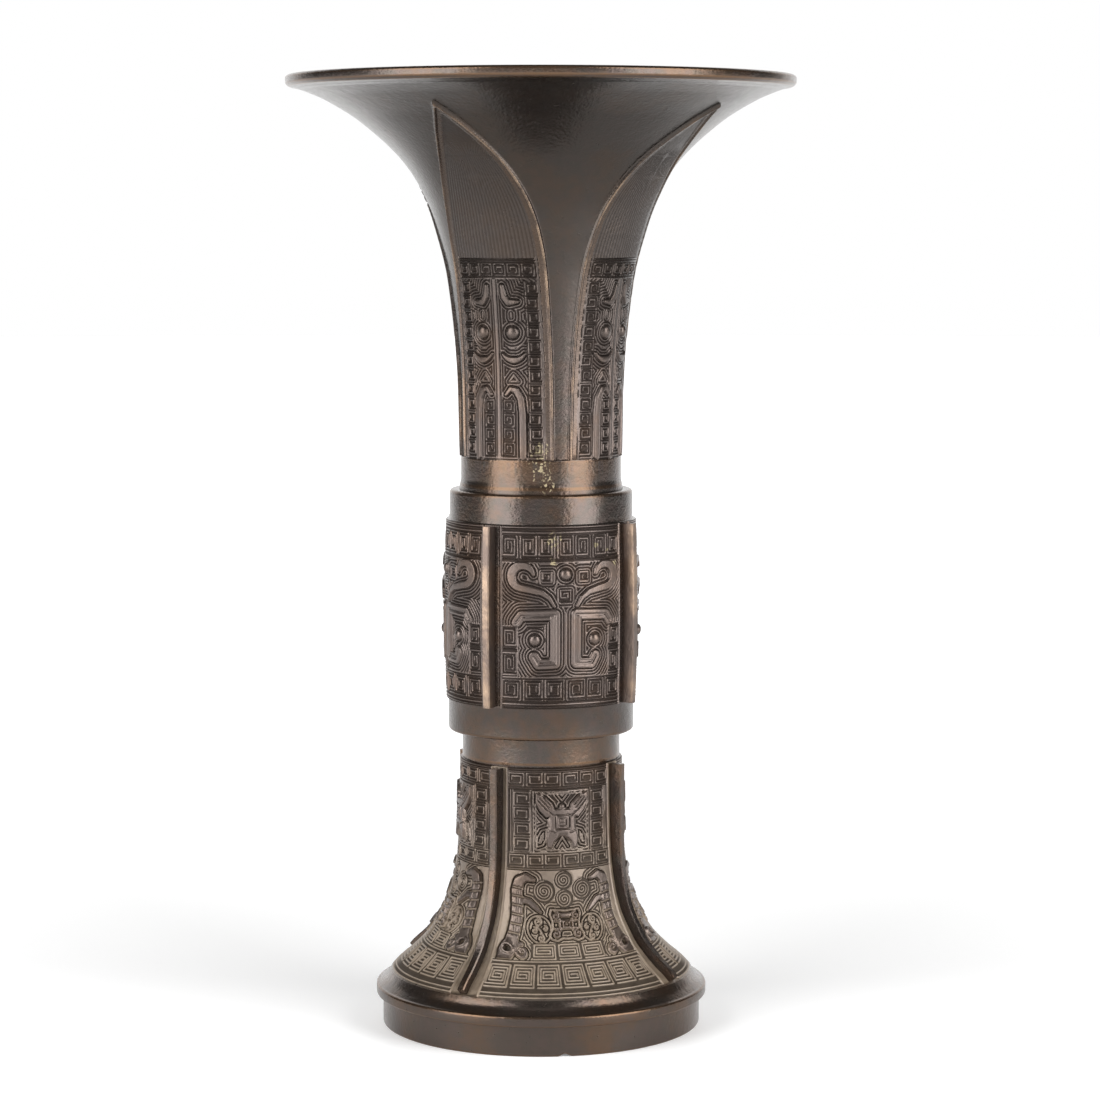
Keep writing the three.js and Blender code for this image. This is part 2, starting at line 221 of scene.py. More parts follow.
class Zone:
    """One relief panel of a level, as a grid of angle across and slant length up.

    Paths are (across, height) points: across is the arc length from the panel's middle at the
    local radius, and height is the level above the foot's underside.
    """

    def __init__(self, radius_at, low, high, columns, step, form):
        self.thread = form.line_rise / MM
        self.rise = form.figure_rise / MM
        self.pitch = form.fret_pitch / MM
        fine = np.linspace(low, high, PROFILE_POINTS)
        run = np.hypot(np.diff(fine), np.diff(radius_at(fine)))
        slant = np.concatenate([[0], np.cumsum(run)])
        self.slant = np.linspace(0, slant[-1], int(slant[-1] / (step * COARSE)) + 1)
        self.z = np.interp(self.slant, slant, fine)
        self.radius = radius_at(self.z)
        out = np.gradient(self.z, self.slant)
        up = -np.gradient(self.radius, self.slant)
        size = np.hypot(out, up)
        self.out, self.up = out / size, up / size
        columns //= COARSE
        self.angle = ((np.arange(columns) + 0.5) / columns - 0.5) * PANEL_TURN
        self.across = self.radius[:, None] * self.angle[None, :]
        shape = self.across.shape
        self.climb = np.broadcast_to(self.slant[:, None], shape)
        self.level = np.broadcast_to(self.z[:, None], shape)
        self.height, self.plain, self.dust, self.wear = (np.zeros(shape) for _ in range(4))
        self.gap = np.full(shape, FAR)

    def slant_at(self, z):
        return float(np.interp(z, self.z, self.slant))

    def radius_of(self, z):
        return float(np.interp(z, self.z, self.radius))

    def away(self, path, reach=None):
        """Distance of the grid from a path, exact within reach and large beyond it."""
        far = np.full(self.across.shape, FAR)
        points = [(across, self.slant_at(z)) for across, z in path]
        for (a0, s0), (a1, s1) in zip(points, points[1:]):
            rows = slice(0, len(self.slant))
            columns = slice(0, len(self.angle))
            if reach is not None:
                rows = slice(*np.searchsorted(
                    self.slant, (min(s0, s1) - reach, max(s0, s1) + reach)))
                if rows.start >= rows.stop:
                    continue
                thin, wide = self.radius[rows].min(), self.radius[rows].max()
                left, right = min(a0, a1) - reach, max(a0, a1) + reach
                left = left / (thin if left < 0 else wide)
                right = right / (wide if right < 0 else thin)
                columns = slice(*np.searchsorted(self.angle, (left, right)))
            da, ds = a1 - a0, s1 - s0
            length = max(da * da + ds * ds, 1e-9)
            u = self.across[rows, columns] - a0
            s = self.climb[rows, columns] - s0
            t = np.clip((u * da + s * ds) / length, 0, 1)
            part = np.hypot(u - t * da, s - t * ds)
            far[rows, columns] = np.minimum(far[rows, columns], part)
        return far

    def away_from_point(self, across, z):
        return np.hypot(self.across - across, self.climb - self.slant_at(z))

    def within(self, path):
        """Where the grid lies inside a path that closes on itself."""
        points = [(across, self.slant_at(z)) for across, z in path]
        inside = np.zeros(self.across.shape, bool)
        for (a0, s0), (a1, s1) in zip(points, points[1:] + points[:1]):
            if s0 == s1:
                continue
            crossing = (self.climb > s0) != (self.climb > s1)
            edge = a0 + (self.climb - s0) * (a1 - a0) / (s1 - s0)
            inside ^= crossing & (self.across < edge)
        return inside

    def lift(self, where, height):
        """Raises an area to a height, where it isn't higher already."""
        self.height[where] = np.maximum(self.height, height)[where]

    def sunk(self, where):
        """Takes an area down to the level of the sunk ground."""
        self.height[where] = GROUND

    def mark(self, distance):
        """Records the distance from a form, which the ground lines echo."""
        self.gap = np.minimum(self.gap, distance)

    def ridge(self, path, width, rise, bevel=0.3, form=False, base=0.0):
        """Raises a rounded ridge along a path. A form is one that the ground lines echo."""
        reach = width / 2 + bevel
        away = self.away(path, None if form else reach)
        self.lift(away < reach, base + rise * smooth((width / 2 + bevel / 2 - away) / bevel))
        if form:
            self.mark(away - width / 2)

    def taper(self, path, widths, rise, bevel=0.4):
        """Raises a form along a path whose width changes from point to point."""
        for start, end, first, last in zip(path, path[1:], widths, widths[1:]):
            start, span = np.array(start), np.subtract(end, start)
            for k in range(TAPER_STEPS):
                ends = [start + span * (k + j) / TAPER_STEPS for j in (0, 1)]
                share = (k + 0.5) / TAPER_STEPS
                self.ridge(ends, first + (last - first) * share, rise, bevel, form=True)

    def groove(self, path, width, depth, floor):
        """Cuts a line along a path, down to a floor."""
        away = self.away(path, width)
        cut = depth * smooth((width / 2 + 0.1 - away) / (width / 2))
        self.height = np.maximum(self.height - cut, np.minimum(self.height, floor))

    def line(self, path, width=LINE_WIDTH):
        """Draws one thread of the ground pattern, standing up from the sunk ground."""
        self.ridge(path, width, self.thread - GROUND, LINE_BEVEL, base=GROUND)

    def level_line(self, z, half, width=LINE_WIDTH):
        self.line([(-half, z), (half, z)], width)

    def moat(self, where, width, depth):
        """Sinks a narrow shadow line round the forms."""
        ditch = where & (self.gap > 0.1) & (self.gap < width + 0.2) & (self.height <= 0)
        side = smooth((width + 0.2 - self.gap[ditch]) / 0.2)
        self.height[ditch] = np.minimum(self.height[ditch], -depth * side)

    def slab(self, path, rise, bevel=0.5):
        """Raises the whole area inside a path that closes on itself."""
        away = self.away(closed(path))
        signed = np.where(self.within(path), -away, away)
        self.lift(signed < bevel / 2, rise * smooth(0.5 - signed / bevel))
        self.mark(signed)

    def dome(self, across, z, radius, rise, form=True):
        """Raises a round boss."""
        away = self.away_from_point(across, z)
        self.lift(away < radius, rise * np.sqrt(np.clip(1 - (away / radius) ** 2, 0, 1)))
        if form:
            self.mark(away - radius)

    def ring(self, across, z, radius, width, rise):
        away = np.abs(self.away_from_point(across, z) - radius)
        self.lift(away < width / 2 + 0.3, rise * smooth((width / 2 + 0.15 - away) / 0.3))

    def echo(self, where, reach=FAR):
        """Ground lines that run round the forms, one inside the other, within a mask."""
        wave = np.cos(2 * math.pi * (self.gap - self.pitch * 0.75) / self.pitch)
        line = smooth((wave + 0.35) / 0.9)
        line[self.gap > reach] = 1.0
        drawn = GROUND + (self.thread - GROUND) * line
        open_ground = where & (self.gap > 0.15) & (self.height <= 0)
        self.height[open_ground] = drawn[open_ground]

    def fret(self, across, z, width, height, side=1):
        """One square fret of nested lines about a point. Side -1 turns it over."""
        path = square_spiral(z, width, height, self.pitch)
        self.line([(across + side * a, b) for a, b in path])

    def fret_row(self, half, z, gap, height, count, sides=(1, -1)):
        """Frets side by side over a panel, with a gap between them."""
        width = 2 * half / count
        for k in range(count):
            self.fret(width * (k + 0.5 - count / 2), z, width - gap, height, sides[k % 2])

    def fret_column(self, across, low, step, count, width, height, sides=(1, -1)):
        """Frets one above the other."""
        for k in range(count):
            self.fret(across, low + step * (k + 0.5), width, height, sides[k % 2])

    def spread_fret(self, across, path, measured_at, thread):
        """A fret that widens with the panel. Its widths are measured at one level."""
        base = self.radius_of(measured_at)
        self.line([((across + a) * self.radius_of(z) / base, z) for a, z in path], thread)

    def edge_strip(self, half, dust=0.0):
        """The raised lines along the panel's edges and the plain strip beside the flange."""
        strip = np.abs(self.across) >= half
        self.sunk(strip)
        self.plain[strip] = 0.6
        self.dust[strip] = np.maximum(self.dust[strip], dust)
        away = np.abs(np.abs(self.across) - half)
        self.lift(away < 0.6, GROUND + 0.45 * smooth((0.5 - away) / 0.3))


# Columns of the grid across one panel, and the slant length of its rows.
TRUMPET_COLUMNS = 208
KNOP_COLUMNS = 232
FOOT_UPPER_COLUMNS = 204
FOOT_LOWER_COLUMNS = 290
ROW = 0.2
COMB_ROW = 0.4
STAR_ROW = 0.19

MASK_LOW, MASK_HIGH = 114.4, 150.2
HORN = arc(-13.5, 145.8, 3.5, 12, 262, 14) + [
    (-11.2, 141.8), (-7.6, 140.9), (-5.2, 139.2), (-3.6, 136.6)]
JAW = [(-15.4, 131.6), (-13.9, 133.6), (-3.4, 134.0), (-3.4, 118.8), (-8.6, 118.6),
       (-10.0, 120.9)]
INNER_JAW = [(-12.8, 133.2), (-4.6, 133.5), (-4.6, 119.6), (-8.4, 119.4)]

# Small frets between the horns: across, height and half width.
MASK_BLOCKS = ((0, 139.9, 1.6), (5.9, 145.6, 1.4), (-5.9, 145.6, 1.4))


def draw_knop(form):
    """The animal mask between two bands of frets."""
    zone = Zone(knop_radius, Z_KNOP_PANEL, Z_UPPER_BAND, KNOP_COLUMNS, ROW, form)
    rise = zone.rise
    half = EDGE_ANGLE * R_KNOP_PANEL
    inside = np.abs(zone.across) < half
    widths = np.interp(np.arange(len(HORN)), (0, 3, 8, 15, len(HORN) - 1),
                       (1.0, 2.1, 2.9, 2.1, 0.8))
    for flip in FLIPS:
        zone.taper(flip(HORN), widths, rise)
        zone.ridge(flip(JAW), 3.1, rise * 0.62, 0.4, form=True)
        zone.groove(flip(JAW), 0.8, rise * 0.5, 0.05)
        zone.groove(flip(INNER_JAW), 0.35, rise * 0.3, 0.2)
    for across, z in ((0, 146.4), (-9.8, 126.1), (9.8, 126.1)):
        zone.dome(across, z, 1.75, rise * 1.5)
    for across, z, reach in MASK_BLOCKS:
        block = box(across, z, reach, reach)
        zone.mark(np.where(zone.within(block), 0, FAR))
        zone.mark(zone.away(closed(block)) - 0.2)
    masked = inside & (zone.level > MASK_LOW) & (zone.level < MASK_HIGH)
    zone.echo(masked)
    for across, z, reach in MASK_BLOCKS:
        away = np.maximum(np.abs(zone.across - across), np.abs(zone.level - z))
        zone.sunk(away < reach + 0.2)
        zone.fret(across, z, 2 * reach, 2 * reach, 1 if across <= 0 else -1)

    zone.sunk(masked & (np.abs(zone.across) > 15.0) & (zone.level < 130.4))
    for side in (-1, 1):
        for z, tall in ((126.7, 6.4), (118.6, 6.8)):
            zone.fret(side * 17.9, z, 4.7, tall, side)
        zone.line([(side * 15.1, MASK_LOW), (side * 15.1, 130.4), (side * 20, 130.4)])

    zone.sunk(inside & ~masked)
    for z, height, count in ((154.9, 6.8, 7), (110.4, 6.3, 6)):
        zone.fret_row(half, z, zone.pitch * 1.05, height, count)
    for z in (105.1, 106.0, MASK_LOW, MASK_HIGH, 159.4, 160.3, 161.0):
        zone.level_line(z, half)
    zone.edge_strip(half)
    return zone


BLADE_HALF_WIDTH = 17.3
BLADE_TIP = 290.0
BLADE_SHOULDER_SHARE = 0.54
BLADE_OGIVE = 2.6
BLADE_BORDER = 2.3
CHANNEL_DEPTH = 0.45
COMB_LINES = 24


def blade_half(z):
    """Half the blade's width at a height: even up to its shoulder, then an ogive."""
    share = (z - Z_TRUMPET) / (BLADE_TIP - Z_TRUMPET)
    taper = np.clip((share - BLADE_SHOULDER_SHARE) / (1 - BLADE_SHOULDER_SHARE), 0, 1)
    return BLADE_HALF_WIDTH * (1 - taper ** BLADE_OGIVE)


def draw_blade_edge(zone):
    """The channel beside a blade, its plain border and the thin rim round it.

    Returns how far each place lies inside the blade.
    """
    half = blade_half(zone.z)
    slope = np.gradient(half, zone.slant)
    depth = (half[:, None] - np.abs(zone.across)) / np.hypot(1, slope)[:, None]
    outside = depth < 0
    zone.height[outside] = -CHANNEL_DEPTH * smooth(-depth[outside] / 0.5)
    zone.plain[outside] = 1.0
    border = (depth >= 0) & (depth < BLADE_BORDER)
    zone.height[border] = 0.1
    zone.wear[border] = 0.25
    zone.plain[border] = 0.5
    from_rim = np.abs(depth - 0.35)
    zone.lift(from_rim < 0.6, 0.6 * smooth((0.65 - from_rim) / 0.4))
    return depth


EAR = [(2.7, 235.0), (3.2, 231.8), (4.6, 230.0), (7.4, 230.2)]
STAPLE = [(2.7, 201.6), (4.2, 203.4), (6.0, 202.9), (7.4, 200.4), (7.9, 196.0), (7.9, 182.4)]
SMILE = arc(5.5, 216.4, 4.2, 212, 328)
NOSE = [(5.2, 207.6), (3.6, 205.6), (6.8, 205.6), (5.2, 207.6)]
BROW = [(5.2, 225.4), (5.2, 226.6)]
CHAIN_LOW, CHAIN_HIGH, CHAIN_LINKS = 182.6, 236.4, 12


def draw_blade_foot(form):
    """The figured lower part of the blades."""
    zone = Zone(trumpet_radius, Z_TRUMPET, Z_COMB, TRUMPET_COLUMNS, ROW, form)
    rise = zone.rise
    for flip in FLIPS:
        zone.taper(flip(EAR), (1.1, 1.7, 1.9, 1.0), rise * 0.9)
        zone.taper(flip(STAPLE), (0.9, 1.3, 1.8, 2.0, 2.0, 2.0), rise)
        zone.taper(flip(SMILE), np.interp(np.arange(11), (0, 5, 10), (0.6, 1.9, 0.6)), rise * 0.9)
        zone.mark(zone.away(flip(NOSE)) - 0.2)
        zone.mark(zone.away(flip(BROW)) - 0.3)
    for side in (-1, 1):
        zone.dome(side * 5.3, 220.7, 2.0, rise * 1.6)
    zone.mark(np.abs(zone.across) - 0.4)
    depth = draw_blade_edge(zone)
    field = depth > BLADE_BORDER
    zone.echo(field)

    link = (CHAIN_HIGH - CHAIN_LOW) / CHAIN_LINKS
    for side in (-1, 1):
        chain = np.abs(zone.across * side - 12.1) < 2.5
        zone.sunk(field & chain & (zone.level < CHAIN_HIGH))
        zone.fret_column(side * 12.1, CHAIN_LOW, link, CHAIN_LINKS, 3.9, link - 0.6)
        lane = field & (np.abs(zone.across * side - 3.4) < 2.3) & (zone.level < 200.2)
        zone.sunk(lane & (zone.gap > 0))
        zone.fret_column(side * 3.5, CHAIN_LOW - 0.1, 4.4, 4, 3.3, 3.7, (side, side))
    zone.sunk(field & (zone.level > 237.2))
    zone.fret_row(13.92, 239.9, 0.94, 3.5, 6, (1, 1))
    for z in (181.9, 237.3, 242.4, 243.2):
        zone.level_line(z, 14.6)
    for across in (-0.45, 0.45):
        zone.line([(across, 182), (across, 237)])
    zone.lift(np.abs(depth - BLADE_BORDER - 0.5) < 0.3, zone.thread)
    return zone


def draw_blade_tip(form):
    """The combed upper part of the blades, whose lines run to the point."""
    zone = Zone(trumpet_radius, Z_COMB, Z_LIP, TRUMPET_COLUMNS, COMB_ROW, form)
    field = draw_blade_edge(zone) > BLADE_BORDER
    inner_half = np.maximum(blade_half(zone.level) - BLADE_BORDER - 0.3, 0.05)
    wave = np.cos(np.pi * COMB_LINES * zone.across / inner_half)
    fade = smooth((2 * inner_half / COMB_LINES - 0.45) / 0.25)
    comb = -0.1 + 0.16 * smooth((wave + 0.3) / 0.9) * fade
    zone.height[field] = comb[field]
    zone.plain[field] = 0.3
    above = zone.level > BLADE_TIP
    zone.height[above] = -CHANNEL_DEPTH * smooth(
        (zone.slant_at(Z_LIP) - zone.climb[above]) / 3)
    zone.plain[above] = 1
    zone.wear[above] = 0
    return zone


# How far the foot's figures stand up, against those above.
FOOT_FIGURES = 1.3

STAR_Z = 68.4
STAR_FRAME = 9.1
STAR_BODY = [(-4.2, 64.8), (4.2, 64.8), (3.7, STAR_Z), (4.2, 72.4), (-4.2, 72.4), (-3.7, STAR_Z)]
LEAF = [(2.5, 72.6), (3.1, 74.3), (5.2, 76.3), (8.2, 77.7), (8.3, 74.6), (7.0, 72.0), (5.0, 69.8),
        (3.4, 70.4)]
LEG = [(0.9, 65.6), (4.2, 66.6), (5.0, 63.6), (4.6, 60.6), (3.5, 60.1), (2.8, 62.2), (1.3, 63.7)]
LOW_LEAF = [(4.9, 66.3), (6.6, 65.7), (7.8, 63.6), (8.1, 60.6), (6.0, 61.2), (5.2, 63.0)]
STAR_CURL = [(-1.0, 67.2), (1.1, 67.2), (1.1, 69.6), (-1.0, 69.6), (-1.0, 68.3), (0.2, 68.3)]
STAR_POINTS = ([(-2.2, 77.7), (2.2, 77.7), (0, 75.0), (-2.2, 77.7)],
               [(-1.9, 60.6), (0, 63.6), (1.9, 60.6)])


def draw_star(zone, rise):
    """The four-leaved star."""
    zone.slab(STAR_BODY, rise)
    zone.dome(0, STAR_Z, 4.6, rise * 1.3, form=False)
    for flip in FLIPS:
        zone.slab(flip(LEAF), rise)
        zone.slab(flip(LEG), rise, 0.8)
        zone.ridge(flip(closed(LOW_LEAF)), 0.45, 0.35, form=True)
        for k in range(3):
            zone.groove(flip([(4.7 - 0.5 * k, 72.0 + 0.9 * k), (7.6 - 0.6 * k, 75.3 + 0.7 * k)]),
                        0.42, rise * 0.55, 0.1)
            zone.line(flip([(5.7 + 0.55 * k, 65.3 - 0.5 * k), (6.0 + 0.7 * k, 62.6 - 0.5 * k)]))
        zone.groove(flip([(2.7, 70.5), (4.2, 71.7)]), 0.5, rise * 0.5, 0.1)
        zone.groove(flip([(2.2, 65.0), (4.3, 65.8)]), 0.4, rise * 0.4, 0.1)
    zone.groove(closed(box(0, STAR_Z, 2.2, 2.2)), 0.5, rise * 0.6, 0.1)
    zone.groove(STAR_CURL, 0.4, rise * 0.5, 0.1)
    zone.dome(0, 73.2, 0.9, rise * 0.8)
    for path in STAR_POINTS:
        zone.ridge(path, 0.4, 0.3, form=True)


def draw_foot_upper(form):
    """A four-leaved star in a square frame, with frets round it."""
    zone = Zone(foot_radius, Z_FOOT_PARTING, Z_LOWER_NECK, FOOT_UPPER_COLUMNS, STAR_ROW, form)
    half = EDGE_ANGLE * zone.radius[:, None]
    inside = np.abs(zone.across) < half
    draw_star(zone, zone.rise * FOOT_FIGURES)
    framed = ((np.abs(zone.across) < STAR_FRAME)
              & (np.abs(zone.level - STAR_Z) < STAR_FRAME + 0.5))
    zone.echo(framed)
    zone.moat(framed, 0.35, 0.4)
    zone.sunk(inside & ~framed)
    for edge in (STAR_FRAME, STAR_FRAME - 0.8):
        zone.line(closed(box(0, STAR_Z, edge, edge + 0.5)))
    for side in (-1, 1):
        zone.fret_column(side * 12.7, 58.925, 4.75, 4, 4.9, 4.0)
        for across in (9.9, 15.6, 16.4):
            zone.line([(side * across, 59.0), (side * across, 78.4)])
    for z, height in ((81.7, 3.9), (56.2, 3.7)):
        zone.fret_row(17.4, z, 1.0, height, 6)
    for z in (53.7, 58.7, 79.0, 84.2, 84.9):
        zone.level_line(z, 19)
    zone.dust[:] = 0.15 + 0.35 * smooth((72 - zone.level) / 18)
    zone.edge_strip(half, 0.8)
    return zone


DRAGON_BODY = [(-9.4, 50.4), (-11.8, 51.2), (-13.9, 49.8), (-14.6, 47.2), (-14.7, 43.0),
               (-15.2, 38.8), (-16.6, 34.8), (-18.2, 31.6)]
DRAGON_SPINE = [(-14.0, 48.4), (-14.4, 43.0), (-14.9, 38.8), (-16.3, 34.8)]
DRAGON_LEG = [(-13.6, 44.4), (-11.0, 43.8), (-9.0, 42.0), (-7.6, 40.6)]
DRAGON_HEAD = [(-17.6, 32.0), (-19.6, 29.6), (-21.8, 27.0)]
DRAGON_SNOUT = [(-22.6, 27.0), (-22.0, 25.6), (-20.2, 25.4), (-18.9, 26.6), (-17.6, 25.9),
                (-16.2, 26.2)]
DRAGON_EYE = (-19.4, 29.9)
DRAGON_SEAMS = (48.0, 45.4, 42.6, 39.8, 37.0, 34.4)


def draw_dragon(zone, flip, rise):
    """One dragon running head down along the panel's edge."""
    zone.taper(flip(DRAGON_BODY), (1.2, 2.2, 2.9, 3.3, 3.4, 3.4, 3.5, 3.7), rise)
    zone.taper(flip(DRAGON_LEG), (2.0, 1.7, 1.4, 0.5), rise * 0.9)
    zone.taper(flip(DRAGON_HEAD), (3.8, 5.0, 3.0), rise)
    zone.taper(flip(DRAGON_SNOUT), (1.8, 1.9, 1.6, 1.5, 1.6, 1.2), rise * 1.1)
    whisker = round_spiral(-15.0, 29.3, 2.1, 1.4)
    zone.taper(flip(whisker), np.linspace(1.4, 0.9, len(whisker)), rise * 0.8)
    across_at, level_at = zip(*DRAGON_BODY)
    for z in DRAGON_SEAMS:
        across = float(np.interp(z, level_at[:2:-1], across_at[:2:-1]))
        seam = [(across - 2.2, z + 0.35), (across + 2.2, z - 0.35)]
        zone.groove(flip(seam), 0.8, rise * 0.8, 0.05)
    zone.groove(flip(DRAGON_SPINE), 0.3, rise * 0.35, 0.3)
    for across, z in flip([DRAGON_EYE]):
        zone.ring(across, z, 1.6, 0.9, rise * 1.7)
        zone.sunk(zone.away_from_point(across, z) < 1.0)


KNOT = [(0, 41.0), (2.6, 41.2), (4.4, 41.4), (4.9, 40.0), (4.2, 38.0), (4.4, 35.7), (5.6, 34.1),
        (5.0, 32.8), (3.2, 32.4), (1.6, 33.1), (0, 32.9)]
CLOUD = [(8.6 + 3.7 * math.cos(a), 35.7 + 3.9 * math.sin(a))
         for a in np.linspace(0, 2 * math.pi, 25)]
KNOT_CURLS = ((3.2, 39.5, 1.2), (3.5, 34.2, 1.3))
CLOUD_CURLS = ((8.9, 37.9, 1.4), (6.8, 35.9, 0.9), (10.2, 35.4, 1.0), (8.4, 33.2, 1.2))


def draw_knot(zone, rise):
    """The knotted motif between the dragons, with a cloud field on either side."""
    def cord(path, width, share):
        zone.ridge(path, width, rise * share, form=True)

    for flip in FLIPS:
        cord(flip(KNOT), 0.55, 0.5)
        for across, z, radius in KNOT_CURLS:
            cord(flip(round_spiral(across, z, radius, 1.0)), 0.55, 0.8)
        cord(flip([(2.0, 38.6), (2.0, 35.2)]), 0.6, 0.8)
        cord(flip(CLOUD), 0.4, 0.4)
        for across, z, radius in CLOUD_CURLS:
            cord(flip(round_spiral(across, z, radius, 0.95)), 0.45, 0.5)
        cord(flip([(7.5, 33.4), (8.2, 35.2), (9.4, 36.8)]), 0.45, 0.5)
    for z in (37.9, 35.8):
        cord([(-3.6, z), (3.6, z)], 0.55, 0.8)
    zone.slab([(-2.1, 40.3), (2.1, 40.3), (1.4, 39.0), (-1.4, 39.0)], rise * 0.8, 0.3)
    cord(closed(box(0, 36.85, 1.0, 0.85)), 0.4, 1.0)
    zone.dome(0, 36.85, 0.6, rise * 1.1)


ARCH_LOW = 27.2
SCROLLS = ((-6.2, 46.9, 3.2), (0.1, 50.2, 2.6), (6.2, 47.2, 3.0), (0.1, 44.5, 2.6))

# The row of frets along the spreading edge, with the radius and the level that they fit.
EDGE_FRETS = 7
EDGE_LOW, EDGE_HIGH = 20.0, 26.1
EDGE_RADIUS = 41.5
EDGE_MEASURED_AT = 22.8


def draw_foot_lower(form):
    """Two dragons under an arch of scrolls, with frets along the spreading edge."""
    zone = Zone(foot_radius, Z_FOOT, Z_FOOT_PARTING, FOOT_LOWER_COLUMNS, ROW, form)
    rise = zone.rise * FOOT_FIGURES
    half = EDGE_ANGLE * zone.radius[:, None]
    inside = np.abs(zone.across) < half
    for flip in FLIPS:
        draw_dragon(zone, flip, rise)
    draw_knot(zone, rise)
    arch = inside & (zone.level > ARCH_LOW)
    bound = np.interp(zone.level, (27, 31.6, 34.8, 38.8, 43.0, 50.0, 53),
                      (23.5, 20.2, 18.8, 17.4, 16.8, 16.0, 13.0))
    zone.echo(arch & (np.abs(zone.across) < bound), 2.6 * zone.pitch)
    zone.moat(arch, 0.55, 0.5)
    for across, z, radius in SCROLLS:
        disc = zone.away_from_point(across, z) < radius + 0.4
        zone.sunk(disc & (zone.gap > 0.2))
        zone.line(round_spiral(across, z, radius, zone.pitch))
    zone.sunk(inside & ~arch)
    for across in (-7.9, 0.0, 7.9):
        zone.sunk((np.abs(zone.across - across) < 4.1) & (zone.level > 27.0) & (zone.level < 31.8))
        zone.spread_fret(across, square_spiral(29.4, 6.6, 3.9, 0.76), 29.4, 0.42)
    width = 2 * EDGE_ANGLE * EDGE_RADIUS / EDGE_FRETS
    path = square_spiral((EDGE_LOW + EDGE_HIGH) / 2, width - 1.3, EDGE_HIGH - EDGE_LOW - 0.5, 0.78)
    for k in range(EDGE_FRETS):
        zone.spread_fret(width * (k + 0.5 - EDGE_FRETS / 2), path, EDGE_MEASURED_AT, 0.47)
    for z in (17.7, 18.7, 26.8):
        zone.level_line(z, EDGE_ANGLE * zone.radius_of(z), 0.4)
    zone.dust[:] = 0.55 + 0.45 * smooth((50 - zone.level) / 16)
    zone.edge_strip(half, 1.0)
    lip = zone.level < Z_FOOT + 0.5
    zone.height[lip] = 0
    zone.plain[lip] = 1
    zone.dust[lip] = 0.3
    return zone


EDGE_WEAR = 0.8


def corner_arcs(points, steps=4):
    """A profile with its corners rounded: each point is (radius, height, rounding).

    Its rows are (radius, height, edge), where edge is 1 along an outer corner.
    """
    made = []
    for i, (r, z, rounding) in enumerate(points):
        here = np.array([r, z])
        if rounding <= 0 or i in (0, len(points) - 1):
            made.append((r, z, 0.0))
            continue
        before = np.array(points[i - 1][:2]) - here
        after = np.array(points[i + 1][:2]) - here
        outer = before[1] * after[0] > before[0] * after[1]
        start = here + before / np.linalg.norm(before) * rounding
        end = here + after / np.linalg.norm(after) * rounding
        for k in range(steps + 1):
            t = k / steps
            point = start * (1 - t) ** 2 + here * 2 * t * (1 - t) + end * t ** 2
            made.append((*point, float(outer and 0 < k < steps)))
    return made


def curve_rows(radius_at, low, high, count):
    z = np.linspace(low, high, count)
    return np.stack([radius_at(z), z], 1)


def mesh_from(name, vertices, faces, layers):
    """A mesh object in metres from millimetre vertices, with one float layer a name."""
    mesh = bpy.data.meshes.new(name)
    mesh.vertices.add(len(vertices))
    mesh.vertices.foreach_set("co", (vertices * MM).ravel())
    mesh.loops.add(faces.size)
    mesh.loops.foreach_set("vertex_index", faces.ravel())
    mesh.polygons.add(len(faces))
    mesh.polygons.foreach_set("loop_start", np.arange(len(faces)) * faces.shape[1])
    mesh.update(calc_edges=True)
    mesh.validate()
    for label, values in layers.items():
        layer = mesh.attributes.new(label, "FLOAT", "POINT")
        layer.data.foreach_set("value", values.astype(np.float32).ravel())
    piece = bpy.data.objects.new(name, mesh)
    bpy.context.scene.collection.objects.link(piece)
    return piece


# What the metal reads at each place: relief height, plainness, dust and rubbing.
LAYERS = ("relief", "plain", "dust", "wear")

# The direction of the camera round the vase, and the share of the ground lines' height that
# is left on the hidden sides.
FRONT = math.radians(-104.7)
BACK_SHARE = 0.2

# Pale corrosion: angle round the vase in degrees, height, radius and strength.
BLOOMS = ((-106, 178, 5.5, 0.75), (-106, 184.5, 4.5, 0.8), (-97, 156.5, 4.2, 0.85),
          (-97, 150.4, 2.0, 0.85), (-70.4, 155, 1.1, 2.2), (-56.2, 149.1, 1.3, 2.2),
          (-62.4, 153.5, 0.8, 1.8), (-100, 173.5, 3.5, 0.6))


def bloomed(points):
    """How far pale corrosion covers each point."""
    cover = np.zeros(points.shape[:-1])
    reach = np.hypot(points[..., 0], points[..., 1])
    for turn, z, radius, strength in BLOOMS:
        angle = math.radians(turn)
        middle = np.stack([reach * math.cos(angle), reach * math.sin(angle),
                           np.full(reach.shape, z)], -1)
        away = np.linalg.norm(points - middle, axis=-1)
        cover = np.maximum(cover, strength * smooth(1.3 * (1 - away / radius)))
    return cover


